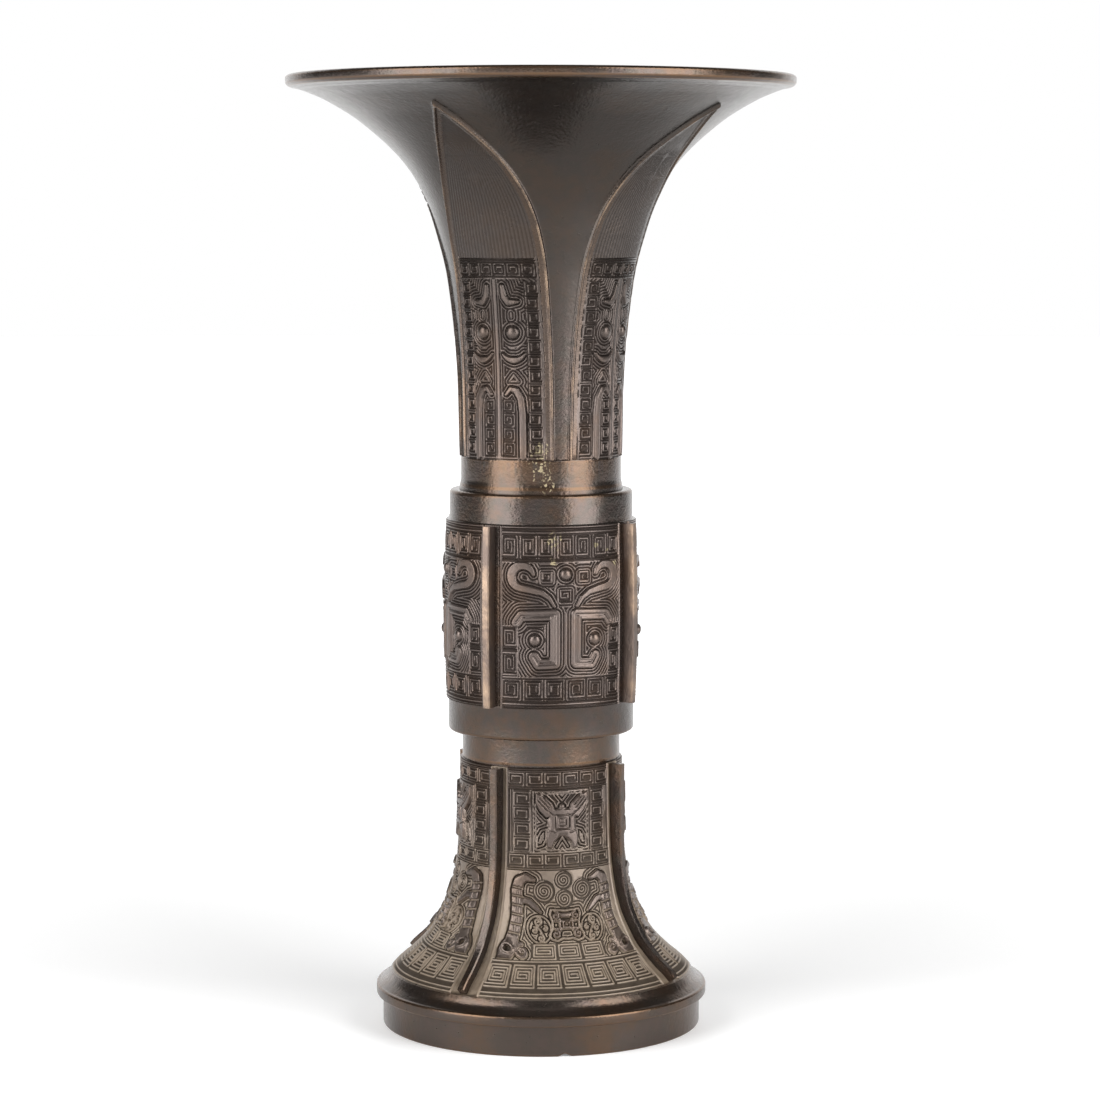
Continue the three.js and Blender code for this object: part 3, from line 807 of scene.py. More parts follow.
class Shell:
    """A closed ring of the casting: outside rows from bottom to top, then the bore downwards.

    Its columns are dense where they face the camera and sparser behind.
    """

    def __init__(self, columns, first_turn=0.0):
        columns //= COARSE
        self.rows = []
        self.partings = []
        self.layers = {label: [] for label in LAYERS}
        turn = ((np.arange(columns) + 0.5) / columns - 0.5) * PANEL_TURN + first_turn
        turns = np.concatenate([turn + PANEL_TURN * k for k in range(PANELS)])
        front = np.cos(turns - FRONT)
        steps = ((1, 2, 3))
        step = np.select([front > 0.2, front > -0.1], steps[:2], steps[2])
        self.pick = np.flatnonzero(np.arange(len(turns)) % step == 0)
        self.turns = turns[self.pick]
        self.front = front[self.pick]

    def add_rows(self, profile, wear=0.0):
        """Adds plain turned rows, which are rubbed along their outer corners."""
        count = len(self.turns)
        for r, z, *edge in profile:
            self.rows.append((np.full(count, float(r)), np.full(count, float(z))))
            for label, value in zip(LAYERS, (0.0, 1.0, 0.0, wear + EDGE_WEAR * sum(edge))):
                self.layers[label].append(np.full(count, value))

    def add_zone(self, zone, first=0, last=None):
        """Adds the rows of a relief zone, its panel repeated round the vase.

        The ground lines are fainter on the hidden sides.
        """
        share = BACK_SHARE + (1 - BACK_SHARE) * smooth((self.front + 0.1) / 0.4)
        for i in range(len(zone.z))[first:last]:
            height = np.tile(zone.height[i], PANELS)[self.pick]
            height = np.where(height <= zone.thread, height * share, height)
            self.rows.append((zone.radius[i] + zone.out[i] * height,
                              zone.z[i] + zone.up[i] * height))
            self.layers["relief"].append(height)
            for label, values in zip(LAYERS[1:], (zone.plain, zone.dust, zone.wear)):
                self.layers[label].append(np.tile(values[i], PANELS)[self.pick])

    def add_lap(self):
        """Carries the last surface on by one row, just inside the surface of the next ring."""
        (radius_before, level_before), (radius, level) = self.rows[-2:]
        slope = (radius - radius_before) / (level - level_before)
        self.rows.append((radius + slope * LAP_STEP - LAP_INSET, level + LAP_STEP))
        for values in self.layers.values():
            values.append(values[-1])

    def part_below(self):
        """Keeps the first rows whole."""
        self.partings = range(PARTING_ROWS)

    def part_above(self):
        """Keeps the last rows so far whole."""
        self.partings = range(len(self.rows) - PARTING_ROWS, len(self.rows))

    def build(self, name, facets, change=None):
        """Makes the closed mesh and thins it to a facet budget."""
        radius, level = (np.array(values) for values in zip(*self.rows))
        points = np.stack([radius * np.cos(self.turns), radius * np.sin(self.turns), level], -1)
        if change is not None:
            points = change(points)
        rows, columns = radius.shape
        i, j = np.meshgrid(np.arange(rows), np.arange(columns), indexing="ij")
        up, on = (i + 1) % rows, (j + 1) % columns
        faces = np.stack([i * columns + j, i * columns + on, up * columns + on,
                          up * columns + j], -1).reshape(-1, 4)
        layers = {label: np.array(values) for label, values in self.layers.items()}
        layers["bloom"] = bloomed(points)
        piece = mesh_from(name, points.reshape(-1, 3), faces, layers)
        partings = [k for row in self.partings for k in range(row * columns, (row + 1) * columns)]
        return thinned(piece, facets, partings)


def thinned(piece, facets, partings):
    """Thins a dense mesh, but not along its partings, and sets its soft and sharp edges."""
    triangles = len(piece.data.polygons) * 2
    if facets < triangles:
        modifier = piece.modifiers.new("Thin", "DECIMATE")
        modifier.ratio = facets / triangles
        modifier.use_collapse_triangulate = True
        if partings:
            kept = piece.vertex_groups.new(name="Partings")
            kept.add(partings, 1.0, "REPLACE")
            modifier.vertex_group = kept.name
            modifier.invert_vertex_group = True
        piece.data = plain_mesh(piece)
    return shaded(piece, 75)


def plain_mesh(piece):
    """The mesh that a piece's modifiers make. The modifiers are taken off."""
    made = bpy.data.meshes.new_from_object(
        piece.evaluated_get(bpy.context.evaluated_depsgraph_get()))
    piece.modifiers.clear()
    return made


def shaded(piece, sharp_from):
    """Smooths a piece except along edges sharper than an angle in degrees."""
    piece.data.shade_smooth()
    piece.data.set_sharp_from_angle(angle=math.radians(sharp_from))
    return piece


def dressed(piece, material):
    """Gives a finished piece its metal and ties it to the casting."""
    piece.data.materials.clear()
    piece.data.materials.append(material)
    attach(piece, BODY)
    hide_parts(NODE)


def cast(shell, name, settings, share=1.0, change=None):
    """Builds and dresses a ring with its share of the facet budget."""
    dressed(shell.build(name, settings.form.facets * share, change), bronze(settings.finish))


class Wire:
    """A node socket that reads as a value: adding, scaling and dividing it makes Math nodes."""

    def __init__(self, tree, socket):
        self.tree = tree
        self.socket = socket

    def math(self, operation, first, second):
        return self.tree.add("ShaderNodeMath", {"operation": operation}, {0: first, 1: second})

    def __add__(self, other):
        return self.math("ADD", self, other)

    def __sub__(self, other):
        return self.math("SUBTRACT", self, other)

    def __rsub__(self, other):
        return self.math("SUBTRACT", other, self)

    def __mul__(self, other):
        return self.math("MULTIPLY", self, other)

    def __truediv__(self, other):
        return self.math("DIVIDE", self, other)

    __radd__ = __add__
    __rmul__ = __mul__

    def clamped(self):
        return self.tree.add("ShaderNodeClamp", {}, {"Value": self})

    def ramp(self, low, high):
        """0 at one value and 1 at the other, with soft ends."""
        return self.tree.add("ShaderNodeMapRange", {"interpolation_type": "SMOOTHSTEP"},
                             {"Value": self, "From Min": low, "From Max": high})


class Tree:
    """A node tree, filled one node at a time."""

    def __init__(self, tree):
        self.tree = tree
        self.tree.nodes.clear()

    def add(self, kind, settings, values, output=0):
        """A node of a kind with its settings and the values or links of its sockets."""
        node = self.tree.nodes.new(kind)
        for key, value in settings.items():
            setattr(node, key, value)
        for key, value in values.items():
            if isinstance(value, Wire):
                self.tree.links.new(value.socket, node.inputs[key])
            else:
                node.inputs[key].default_value = value
        return Wire(self, node.outputs[output])

    def end(self, kind, value):
        """Joins a value to the tree's output node."""
        self.tree.links.new(value.socket, self.tree.nodes.new(kind).inputs[0])

    def layer(self, name):
        return self.add("ShaderNodeAttribute", {"attribute_name": name}, {}, "Fac")

    def place(self):
        return self.add("ShaderNodeTexCoord", {}, {}, "Object")

    def mixed(self, share, first, second):
        """A colour between two colours."""
        return self.add("ShaderNodeMix", {"data_type": "RGBA"},
                        {"Factor": share, 6: first, 7: second}, 2)

    def noise(self, scale, detail=3.0, roughness=0.55):
        return self.add("ShaderNodeTexNoise", {}, {
            "Vector": self.place(), "Scale": scale, "Detail": detail, "Roughness": roughness})


def colour(values):
    return (*values, 1.0)


def new_material(name):
    material = bpy.data.materials.new(name)
    material.use_nodes = True
    return material


METAL_NAME = "Patinated bronze"
METALLIC = 0.85


def bronze(finish):
    """Dark patina over bronze: worn golden on edges and borders, dusty in the foot's recesses, with
    a painted highlight on the tops of the relief lines and figures and painted shade on the sunk
    ground between them.
    """
    material = bpy.data.materials.get(METAL_NAME)
    if material:
        return material
    material = new_material(METAL_NAME)
    tree = Tree(material.node_tree)
    relief, plain, dust, wear, bloom = (tree.layer(name) for name in (*LAYERS, "bloom"))
    broad = tree.noise(38.0, 5.0, 0.65)
    fine = tree.noise(1100.0)
    speck = tree.noise(330.0, 3.0, 0.6)
    crust = tree.noise(1000.0, 2.0)
    height = tree.add("ShaderNodeSeparateXYZ", {}, {0: tree.place()}, "Z")

    crest = relief.ramp(0.25, 0.75)
    hollow = 1.0 - relief.ramp(-0.22, 0.02)
    field = 1.0 - plain.ramp(0.0, 0.9)
    patch = broad.ramp(0.45, 0.62) * (0.3 + speck * 0.8)
    # Darker towards the mouth: a darker colour mixed in by height, from 0.18 m up to the lip.
    below_lip = 1.0 - height.ramp(Z_LIP * MM, (Z_LIP + 1) * MM)
    towards_mouth = height.ramp(0.18, 0.25) * below_lip * 0.7
    rubbed = ((crest * 0.08 + wear) * (broad * 1.2 + 0.2) * (0.6 + speck * 0.7)).clamped()
    bright = (crest * wear * broad.ramp(0.45, 0.62) * 1.6).clamped()
    powder = (dust * (1.0 - crest * 0.85) * (0.4 + speck) * finish.dust_cover).clamped()
    corroded = (bloom + crust.ramp(0.4, 0.68) - 1.0).ramp(0.0, 0.4)

    tone = tree.mixed(patch, colour(finish.patina), colour(finish.patina_warm))
    for share, cover in ((plain * 0.5 * speck.ramp(0.35, 0.65), finish.verdigris),
                         # Painted highlight: a paler colour on everything above the sunk ground of
                         # the relief fields.
                         ((1.0 - hollow) * field * 0.45, finish.line_highlight),
                         (towards_mouth, finish.mouth),
                         (rubbed, finish.worn),
                         (bright, finish.golden),
                         (powder, finish.dust_tone),
                         (corroded, finish.bloom)):
        tone = tree.mixed(share, tone, colour(cover))

    rough = fine * 0.14 + (finish.roughness - 0.07)
    rough = rough + field * 0.08 + speck * 0.08 + powder * 0.25 + corroded * 0.3
    metal = (METALLIC - powder * METALLIC) * (1.0 - corroded)
    grain = tree.add("ShaderNodeBump", {}, {
        "Strength": 0.4, "Distance": 0.2 * MM, "Height": fine + speck}, "Normal")
    metalwork = tree.add("ShaderNodeBsdfPrincipled", {}, {
        "Base Color": tone, "Roughness": rough, "Metallic": metal, "IOR": 1.6,
        "Normal": grain}, "BSDF")
    # Painted shade: a dark matt colour mixed into the sunk ground between the lines. It stands in
    # for the shade there, along with some dirt.
    painted_shade = tree.add("ShaderNodeBsdfDiffuse", {}, {"Color": colour(finish.recess_shade)}, "BSDF")
    shader = tree.add("ShaderNodeMixShader", {}, {
        0: hollow * field * finish.recess_shade_cover, 1: metalwork, 2: painted_shade}, "Shader")
    tree.end("ShaderNodeOutputMaterial", shader)
    return material


# The floor's own light grows between these distances from the vase, in metres.
GLOW_FROM, GLOW_TO = 0.12, 0.9


def floor_paint(stage):
    material = new_material("Studio floor")
    tree = Tree(material.node_tree)
    away = tree.add("ShaderNodeVectorMath", {"operation": "LENGTH"}, {0: tree.place()}, "Value")
    glow = tree.mixed(away.ramp(GLOW_FROM, GLOW_TO), colour([stage.floor_glow] * 3),
                      colour((1, 1, 1)))
    tree.end("ShaderNodeOutputMaterial", tree.add("ShaderNodeBsdfPrincipled", {}, {
        "Base Color": colour(stage.floor_tone), "Roughness": 0.6, "Emission Color": glow,
        "Emission Strength": 1.0}, "BSDF"))
    return material


def length_of(name, description, default):
    return FloatProperty(name=name, description=description, default=default, unit="LENGTH")


def angle_of(name, description, degrees):
    return FloatProperty(name=name, description=description, default=math.radians(degrees),
                         subtype="ANGLE")


def level_of(name, description, default):
    return FloatProperty(name=name, description=description, default=default)


def share_of(name, description, default):
    return FloatProperty(name=name, description=description, default=default, min=0, max=1,
                         subtype="FACTOR")


def tint_of(name, description, *default):
    return FloatVectorProperty(name=name, description=description, default=default,
                               subtype="COLOR")


class GuVaseForm(PropertyGroup):
    """Sizes of the cast relief."""

    figure_rise: length_of(
        "Figure rise", "How far the masks, dragons and blades stand up", 0.75 * MM)
    line_rise: length_of(
        "Line rise", "How far the ground lines stand above the surface", 0.1 * MM)
    fret_pitch: length_of("Fret pitch", "Distance from one fret line to the next", 0.92 * MM)
    flange_thickness: length_of("Flange thickness", "Thickness of the upright fins", 2.5 * MM)
    knop_flange_rise: length_of(
        "Knop flange rise", "How far the knop's fins stand out", 3.6 * MM)
    foot_flange_rise: length_of(
        "Foot flange rise", "How far the foot's fins stand out at the top", 4.1 * MM)
    foot_flange_end: length_of(
        "Foot flange end", "How far the foot's fins stand out at their cut end", 2.5 * MM)
    facets: IntProperty(
        name="Facets", description="Triangles in each figured ring of the casting",
        default=190000, min=20000, max=195000)


class GuVaseFinish(PropertyGroup):
    """Colours of the patina, with the painted highlight on the relief tops and the painted shade of
    the sunk ground.
    """

    patina: tint_of("Patina", "Dark ground of the patina", 0.074, 0.0575, 0.051)
    patina_warm: tint_of("Warm patina", "Redder cloudy patches", 0.1, 0.058, 0.034)
    # Painted highlight: the paler colour painted on the tops of the ground lines and figures, where
    # light catches them.
    line_highlight: tint_of("Line tone", "Tops of the ground lines and figures", 0.15, 0.122, 0.11)
    verdigris: tint_of("Grey-green", "Plain channels and collar", 0.056, 0.053, 0.046)
    # The darker colour mixed in by height towards the mouth.
    mouth: tint_of("Mouth", "Darker patina towards the mouth", 0.026, 0.022, 0.019)
    # Painted shade, partly dirt, on the sunk ground between the lines, and how much of that ground
    # it covers.
    recess_shade: tint_of("Recess", "Darkened ground between the lines", 0.012, 0.009, 0.0075)
    recess_shade_cover: share_of(
        "Recess cover", "How matt and dark the ground between lines is", 0.8)
    worn: tint_of("Worn metal", "Reddish brown of rubbed borders", 0.115, 0.066, 0.036)
    golden: tint_of("Bare edge", "Pale golden brown of the most rubbed edges", 0.5, 0.36, 0.25)
    bloom: tint_of("Corrosion", "Pale corrosion in small spots", 0.26, 0.21, 0.12)
    dust_tone: tint_of("Dust", "Beige dust in the foot's recesses", 0.26, 0.2, 0.14)
    dust_cover: share_of("Dust cover", "How much of the dust lies in the recesses", 0.8)
    roughness: share_of("Roughness", "Roughness of the plain metal", 0.2)


class GuVaseStage(PropertyGroup):
    """Camera, floor and lights."""

    camera_distance: length_of(
        "Camera distance", "Level distance from the vase's axis", 1.0539)
    camera_height: length_of("Camera height", "Height above the floor", 0.2572)
    camera_turn: angle_of("Camera turn", "Turn of the camera from the front panel", 14.7)
    camera_pitch: angle_of("Camera pitch", "How far the camera looks down", 5.75)
    camera_aside: length_of("Camera aside", "Sideways place of the camera", 0.00284)
    lens: level_of("Lens", "Focal length in millimetres", 109.4)
    floor_tone: tint_of("Floor", "Colour of the floor", 0.9, 0.9, 0.9)
    floor_glow: level_of("Floor glow", "Light that the floor gives near the vase", 0.2)
    key_power: level_of("Left softbox", "Power of the left softbox in watts", 23.0)
    fill_power: level_of("Right softbox", "Power of the right softbox in watts", 23.0)
    top_power: level_of("Top light", "Power of the light above in watts", 0.8)
    world_level: level_of("Surround", "Brightness of the dim sides and ceiling", 0.04)
    front_level: level_of("Front", "Brightness of the room behind the camera", 0.6)
    back_level: level_of("Backdrop", "Brightness of the backdrop", 1.4)


class GuVaseSettings(PropertyGroup):
    """Every setting of the vase and its studio."""

    form: PointerProperty(name="Form", description="Relief sizes", type=GuVaseForm)
    finish: PointerProperty(name="Finish", description="Patina colours", type=GuVaseFinish)
    stage: PointerProperty(name="Stage", description="Camera, floor and lights",
                           type=GuVaseStage)


class GUVASE_OT_mouth(Operator):
    """Make the spreading mouth: the combed blade tips, the lip and its inside."""

    bl_idname = "guvase.mouth"
    bl_label = "Mouth"

    def execute(self, context):
        settings = context.scene.gu_vase
        shell = Shell(TRUMPET_COLUMNS, PANEL_TURN / 2)
        shell.add_zone(draw_blade_tip(settings.form))
        shell.part_below()
        shell.add_rows(corner_arcs([
            (R_TRUMPET_EDGE + 0.6, Z_LIP + 0.1, 0), (R_RIM - 1.1, Z_LIP + 0.4, 0.5),
            (R_RIM - 0.1, Z_LIP + 1.3, 0.5), (R_RIM, Z_TOP - 0.7, 0.4),
            (R_RIM - 0.8, Z_TOP, 0.4), (R_MOUTH_BORE + 0.8, Z_TOP, 0.6),
            (R_MOUTH_BORE - 0.4, Z_TOP - 0.7, 0)]), wear=0.06)
        shell.add_rows(curve_rows(trumpet_bore, Z_TOP - 1.5, Z_COMB + PARTING_STEP, 34))
        cast(shell, "mouth", settings, share=0.42)
        return {"FINISHED"}


class GUVASE_OT_stem(Operator):
    """Make the trumpet's stem: the figured feet of the blades above the plain collar."""

    bl_idname = "guvase.stem"
    bl_label = "Trumpet stem"

    def execute(self, context):
        settings = context.scene.gu_vase
        shell = Shell(TRUMPET_COLUMNS, PANEL_TURN / 2)
        shell.add_rows(corner_arcs([
            (R_COLLAR + 0.5, Z_COLLAR, 0), (R_COLLAR + 0.4, Z_COLLAR + 1.6, 0.7),
            (R_COLLAR, Z_COLLAR + 2.8, 0.7), (R_COLLAR, Z_TRUMPET - 0.6, 0.2),
            (R_COLLAR - 0.1, Z_TRUMPET - 0.1, 0)]))
        shell.add_zone(draw_blade_foot(settings.form))
        shell.add_lap()
        shell.part_above()
        shell.add_rows(curve_rows(trumpet_bore, Z_COMB + PARTING_STEP, Z_COLLAR, 24))
        cast(shell, "trumpet_stem", settings)
        return {"FINISHED"}


class GUVASE_OT_knop(Operator):
    """Make the knop: two plain bands with the mask panels between, and the neck below."""

    bl_idname = "guvase.knop"
    bl_label = "Knop"

    def execute(self, context):
        settings = context.scene.gu_vase
        zone = draw_knop(settings.form)
        parting = int(np.searchsorted(zone.z, Z_KNOP_PARTING))
        neck_bore = R_LOWER_NECK - FOOT_WALL

        base = Shell(KNOP_COLUMNS)
        base.add_rows(corner_arcs([
            (R_LOWER_NECK - 0.1, Z_LOWER_NECK, 0), (R_LOWER_NECK, Z_LOWER_NECK + 1, 0.5),
            (R_LOWER_NECK, Z_KNOP, 0.5), (R_LOWER_BAND, Z_KNOP, 1.2),
            (R_LOWER_BAND, Z_KNOP_PANEL - 0.1, 0), (R_LOWER_BAND + 0.1, Z_KNOP_PANEL, 0)]))
        base.add_zone(zone, 0, parting + 1)
        base.part_above()
        base.add_rows(corner_arcs([
            (R_KNOP_BORE, zone.z[parting], 0), (R_KNOP_BORE, Z_FLOOR_PLATE - 1.5, 0.5),
            (neck_bore, Z_KNOP - 1.5, 0.5), (neck_bore, Z_LOWER_NECK, 0)]))
        cast(base, "knop_base", settings)

        top = Shell(KNOP_COLUMNS)
        top.add_zone(zone, parting)
        top.part_below()
        top.add_rows(corner_arcs([
            (R_KNOP_PANEL - 0.2, Z_UPPER_BAND + 0.1, 0), (R_UPPER_BAND, Z_UPPER_BAND + 0.2, 0.4),
            (R_UPPER_BAND, Z_COLLAR, 1.3), (R_COLLAR + 0.5, Z_COLLAR, 0)]))
        top.add_rows(corner_arcs([
            (R_NECK_BORE, Z_COLLAR, 0), (R_NECK_BORE, Z_COLLAR - 3.2, 1.0),
            (R_KNOP_BORE, Z_COLLAR - 7.6, 1.0), (R_KNOP_BORE, zone.z[parting], 0)]))
        cast(top, "knop", settings)
        return {"FINISHED"}


PLATE_SIDES = 96
PLATE_RADIUS = R_KNOP_BORE + 0.6
PLATE_INNER_RING = 13.0
PLATE_THICKNESS = 3.0


class GUVASE_OT_floor_plate(Operator):
    """Make the floor that closes the vessel inside the knop."""

    bl_idname = "guvase.floor_plate"
    bl_label = "Floor of the vessel"

    def execute(self, context):
        top, bottom = Z_FLOOR_PLATE, Z_FLOOR_PLATE - PLATE_THICKNESS
        profile = ((R_LOWER_NECK - 2.4, bottom), (PLATE_RADIUS, bottom), (PLATE_RADIUS, top),
                   (PLATE_INNER_RING, top))
        turns = np.arange(PLATE_SIDES) * 2 * math.pi / PLATE_SIDES
        ring = [(r * math.cos(a), r * math.sin(a), z) for r, z in profile for a in turns]
        points = np.array(ring + [(0, 0, bottom), (0, 0, top)])
        last = (len(profile) - 1) * PLATE_SIDES
        faces = []
        for k in range(PLATE_SIDES):
            n = (k + 1) % PLATE_SIDES
            for row in range(0, last, PLATE_SIDES):
                a, b = row + k, row + n
                faces += [(a, b, b + PLATE_SIDES), (a, b + PLATE_SIDES, a + PLATE_SIDES)]
            faces += [(n, k, len(ring)), (last + k, last + n, len(ring) + 1)]
        layers = {label: np.full(len(points), float(label == "plain"))
                  for label in (*LAYERS, "bloom")}
        piece = shaded(mesh_from("floor_plate", points, np.array(faces), layers), 50)
        dressed(piece, bronze(context.scene.gu_vase.finish))
        return {"FINISHED"}


class GUVASE_OT_foot(Operator):
    """Make the foot: the star panels above, the dragon panels below and the standing ring."""

    bl_idname = "guvase.foot"
    bl_label = "Foot"

    def execute(self, context):
        settings = context.scene.gu_vase
        upper = Shell(FOOT_UPPER_COLUMNS)
        upper.add_zone(draw_foot_upper(settings.form))
        upper.add_rows([(R_LOWER_NECK - 0.4, Z_LOWER_NECK + 0.05)])
        upper.add_rows(curve_rows(foot_bore, Z_LOWER_NECK, Z_FOOT_PARTING, 14))
        cast(upper, "foot_upper", settings, share=0.75)

        lower = Shell(FOOT_LOWER_COLUMNS)
        lower.add_rows(corner_arcs([
            (R_RING_BORE, 0.6, 0), (R_RING_BORE + 0.5, 0, 0.3), (R_RING, 0, 0.6),
            (R_RING, Z_MOULDING, 0.2), (R_MOULDING, Z_MOULDING, 0.5),
            (R_MOULDING, Z_CAVETTO, 0.7), (R_MOULDING - 1.1, Z_CAVETTO + 0.2, 0.3),
            (R_FOOT_EDGE + 1.3, Z_CAVETTO + 1.9, 1.0),
            (R_FOOT_EDGE + 0.1, Z_FOOT - 0.1, 0)]), wear=0.15)
        lower.add_zone(draw_foot_lower(settings.form))
        lower.add_rows(curve_rows(foot_bore, Z_FOOT_PARTING, Z_FOOT, 24))
        lower.add_rows([(R_RING_BORE, 9.0), (R_RING_BORE, 5.0)])
        cast(lower, "foot_lower", settings, change=chipped)
        return {"FINISHED"}


NICK = (-5.4, -50.3, 0.0)
NICK_RADIUS = 2.4
NICK_DEPTH = 0.9


def chipped(points):
    """Dents the foot ring's lower edge where the casting is nicked."""
    away = np.linalg.norm(points - np.array(NICK), axis=-1)
    points[..., 2] += NICK_DEPTH * smooth((NICK_RADIUS - away) / NICK_RADIUS)
    return points


FIN_BEVEL = 0.35
FIN_SINK = 1.2


def fin(name, stations, thickness, plain, wear):
    """One upright fin on the +X side, a bevelled bar.

    Its stations are (foot radius, crest radius, foot height, crest height).
    """
    half = thickness / 2
    section = [(-half, 0.0), (-half, -FIN_BEVEL), (-half + FIN_BEVEL, 0.0),
               (half - FIN_BEVEL, 0.0), (half, -FIN_BEVEL), (half, 0.0)]
    count = len(section)
    points = []
    relief = []
    for inner, outer, z_inner, z_outer in stations:
        along = np.array([outer - inner, z_outer - z_inner])
        along = along / np.linalg.norm(along)
        for k, (side, drop) in enumerate(section):
            base = k in (0, count - 1)
            r, z = (inner, z_inner) if base else (outer + along[0] * drop,
                                                  z_outer + along[1] * drop)
            points.append((r, side, z))
            relief.append(-0.2 if base else (1.1 if drop == 0 else 0.7))
    faces = []
    end = (len(stations) - 1) * count
    for row in range(0, end, count):
        for k in range(count):
            a, b = row + k, row + (k + 1) % count
            faces += [(a, b, b + count), (a, b + count, a + count)]
    for k in range(1, count - 1):
        faces += [(0, k + 1, k), (end, end + k, end + k + 1)]
    values = {"plain": plain, "dust": 0.0, "wear": wear, "bloom": 0.0}
    layers = {label: np.full(len(points), value) for label, value in values.items()}
    return mesh_from(name, np.array(points), np.array(faces),
                     {"relief": np.array(relief), **layers})


def fin_stations(radius_at, low, high, rise_low, rise_high, steps):
    """Stations of a fin that follows an outline, standing square to it."""
    stations = []
    for share in np.arange(steps + 1) / steps:
        z = low + (high - low) * share
        rise = rise_low + (rise_high - rise_low) * share
        slope = float(radius_at(z + 0.05) - radius_at(z - 0.05)) / 0.1
        tilt = 1 / math.hypot(1, slope)
        r = float(radius_at(z))
        stations.append((r - FIN_SINK * tilt, r + rise * tilt, z + FIN_SINK * tilt * slope,
                         z - rise * tilt * slope))
    return stations


FIN_INPUTS = {"Fin": "NodeSocketObject", "Count": "NodeSocketInt",
              "First turn": "NodeSocketFloat", "Metal": "NodeSocketMaterial"}


def fins_round(name, pattern, material):
    """Stands four copies of a fin on the diagonals with a node tree, as one plain mesh."""
    group = bpy.data.node_groups.new(name + " round the vase", "GeometryNodeTree")
    for way in ("INPUT", "OUTPUT"):
        group.interface.new_socket("Geometry", in_out=way, socket_type="NodeSocketGeometry")
    inputs = {label: group.interface.new_socket(label, in_out="INPUT", socket_type=kind)
              for label, kind in FIN_INPUTS.items()}
    tree = Tree(group)
    entry = group.nodes.new("NodeGroupInput")
    given = {label: Wire(tree, entry.outputs[label]) for label in inputs}
    places = tree.add("GeometryNodePoints", {}, {"Count": given["Count"]})
    one = tree.add("GeometryNodeObjectInfo", {}, {"Object": given["Fin"]}, "Geometry")
    share = tree.add("GeometryNodeInputIndex", {}, {}) / given["Count"]
    turn = tree.add("ShaderNodeCombineXYZ", {},
                    {"Z": share * (2 * math.pi) + given["First turn"]})
    copies = tree.add("GeometryNodeInstanceOnPoints", {},
                      {"Points": places, "Instance": one, "Rotation": turn})
    whole = tree.add("GeometryNodeRealizeInstances", {}, {0: copies})
    tree.end("NodeGroupOutput", tree.add(
        "GeometryNodeSetMaterial", {}, {"Geometry": whole, "Material": given["Metal"]}))

    piece = bpy.data.objects.new(name, bpy.data.meshes.new(name))
    bpy.context.scene.collection.objects.link(piece)
    modifier = piece.modifiers.new("Fins", "NODES")
    modifier.node_group = group
    values = {"Fin": pattern, "Count": PANELS, "First turn": PANEL_TURN / 2, "Metal": material}
    for label, value in values.items():
        modifier[inputs[label].identifier] = value
    piece.data = plain_mesh(piece)
    bpy.data.objects.remove(pattern)
    return shaded(piece, 40)


class GUVASE_OT_flanges(Operator):
    """Make the upright fins between the panels of the knop and of the foot."""

    bl_idname = "guvase.flanges"
    bl_label = "Flanges"

    def execute(self, context):
        settings = context.scene.gu_vase
        form = settings.form
        metal = bronze(settings.finish)
        thickness, rise, foot_rise, foot_end = (
            length / MM for length in (form.flange_thickness, form.knop_flange_rise,
                                       form.foot_flange_rise, form.foot_flange_end))
        stations = fin_stations(knop_radius, Z_KNOP_PANEL + 0.3, Z_UPPER_BAND - 0.3, rise, rise, 16)
        knop = fin("knop_fin", stations, thickness, plain=0.0, wear=0.24)
        dressed(fins_round("knop_flanges", knop, metal), metal)
        stations = fin_stations(foot_radius, Z_FOOT + 0.6, Z_LOWER_NECK - 0.3, foot_end,
                                foot_rise, 48)
        foot = fin("foot_fin", stations, thickness, plain=1.0, wear=0.0)
        dressed(fins_round("foot_flanges", foot, metal), metal)
        return {"FINISHED"}


AIM_HEIGHT = 0.15
FLOOR_RADIUS = 6
WHITE = (1, 1, 1, 1)


def add_object(name, data):
    made = bpy.data.objects.new(name, data)
    bpy.context.scene.collection.objects.link(made)
    return made


def softbox(name, place, width, tall, power):
    """A soft panel of light aimed at the middle of the vase."""
    light = bpy.data.lights.new(name, "AREA")
    light.shape = "RECTANGLE"
    light.size, light.size_y = width, tall
    light.energy = power
    holder = add_object(name, light)
    holder.location = place
    aim = Vector((0, 0, AIM_HEIGHT)) - holder.location
    holder.rotation_euler = aim.to_track_quat("-Z", "Y").to_euler()
    holder.visible_camera = False


def studio_world(stage, ahead):
    """Bright behind the vase and behind the camera, dim at the sides, white to the camera."""
    world = bpy.data.worlds.new("Studio")
    world.use_nodes = True
    tree = Tree(world.node_tree)
    seen = tree.add("ShaderNodeLightPath", {}, {}, "Is Camera Ray")
    back_to = tree.add("ShaderNodeNewGeometry", {}, {}, "Incoming")

    def along(direction):
        return tree.add("ShaderNodeVectorMath", {"operation": "DOT_PRODUCT"},
                        {0: back_to, 1: direction}, "Value")

    backdrop = along(-ahead).ramp(0.62, 0.8) * (1.0 - along((0, 0, -1)).ramp(0.45, 0.8))
    facing = along(ahead).ramp(0.85, 0.98)
    around = backdrop * stage.back_level + facing * stage.front_level + stage.world_level
    level = around + seen * (1.0 - around)
    tree.end("ShaderNodeOutputWorld", tree.add(
        "ShaderNodeBackground", {}, {"Color": WHITE, "Strength": level}, "Background"))
    return world


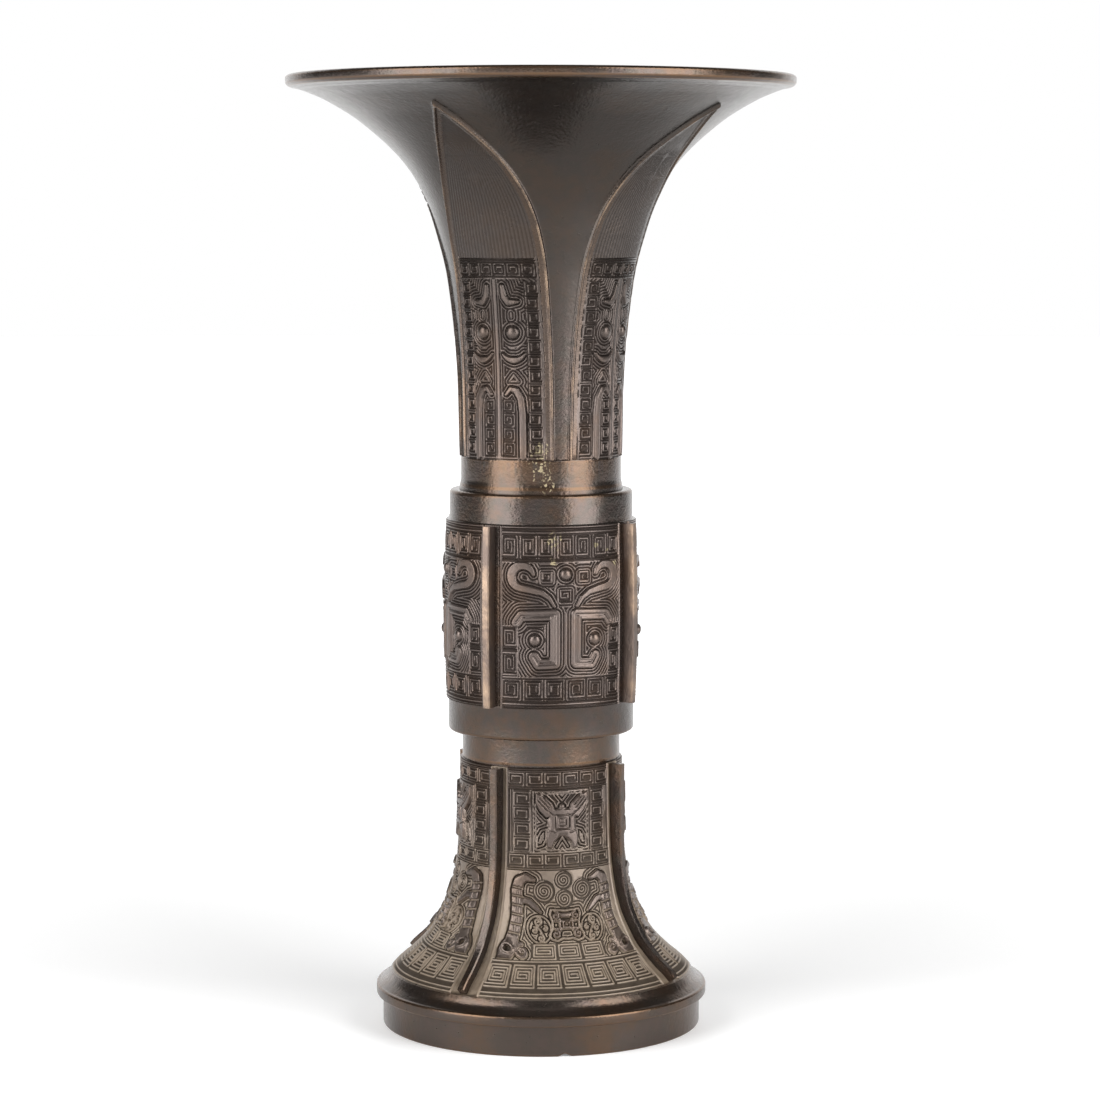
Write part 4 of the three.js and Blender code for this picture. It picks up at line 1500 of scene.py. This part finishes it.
class GUVASE_OT_stage(Operator):
    """Set the pale floor, the soft studio lights and the camera."""

    bl_idname = "guvase.stage"
    bl_label = "Studio"

    def execute(self, context):
        stage = context.scene.gu_vase.stage
        turn = stage.camera_turn
        ahead = Vector((math.sin(turn), math.cos(turn), 0))
        right = Vector((math.cos(turn), -math.sin(turn), 0))
        up = Vector((0, 0, 1))

        data = bpy.data.cameras.new("Camera")
        data.lens = stage.lens
        data.sensor_width = 36
        data.clip_start = 0.01
        data.clip_end = 50
        camera = add_object("Camera", data)
        camera.location = (ahead * -stage.camera_distance + right * stage.camera_aside
                           + up * stage.camera_height)
        look = ahead * math.cos(stage.camera_pitch) - up * math.sin(stage.camera_pitch)
        camera.rotation_euler = look.to_track_quat("-Z", "Y").to_euler()
        context.scene.camera = camera

        bpy.ops.mesh.primitive_circle_add(vertices=96, radius=FLOOR_RADIUS, fill_type="NGON")
        floor = context.object
        floor.name = "studio_floor"
        floor.data.materials.append(floor_paint(stage))

        for name, across, back, height, width, tall, power in (
                ("Softbox left", -0.97, 0.74, 0.6, 1.0, 1.3, stage.key_power),
                ("Softbox right", 0.99, 0.70, 0.6, 0.95, 1.3, stage.fill_power),
                ("Top light", 0.0, 0.5, 1.5, 0.9, 0.7, stage.top_power)):
            softbox(name, right * across - ahead * back + up * height, width, tall, power)
        context.scene.world = studio_world(stage, ahead)
        context.scene.view_settings.view_transform = "Standard"
        return {"FINISHED"}


PIECES = (GUVASE_OT_stage, GUVASE_OT_mouth, GUVASE_OT_stem, GUVASE_OT_knop,
          GUVASE_OT_floor_plate, GUVASE_OT_foot, GUVASE_OT_flanges)


class GUVASE_PT_panel(Panel):
    """Lists the pieces of the vase."""

    bl_label = "Gu vase"
    bl_idname = "GUVASE_PT_panel"
    bl_space_type = "VIEW_3D"
    bl_region_type = "UI"
    bl_category = "Gu vase"

    def draw(self, context):
        for piece in PIECES:
            self.layout.operator(piece.bl_idname)
        settings = context.scene.gu_vase
        for group in (settings.form, settings.finish, settings.stage):
            listed = self.layout.box()
            for name in group.__annotations__:
                listed.prop(group, name)


CLASSES = (GuVaseForm, GuVaseFinish, GuVaseStage, GuVaseSettings, *PIECES, GUVASE_PT_panel)


def register():
    for made in CLASSES:
        bpy.utils.register_class(made)
    bpy.types.Scene.gu_vase = PointerProperty(type=GuVaseSettings)


def unregister():
    del bpy.types.Scene.gu_vase
    for made in reversed(CLASSES):
        bpy.utils.unregister_class(made)


def main():
    register()
    for piece in PIECES:
        group, name = piece.bl_idname.split(".")
        getattr(getattr(bpy.ops, group), name)()


if __name__ == "__main__":
    main()
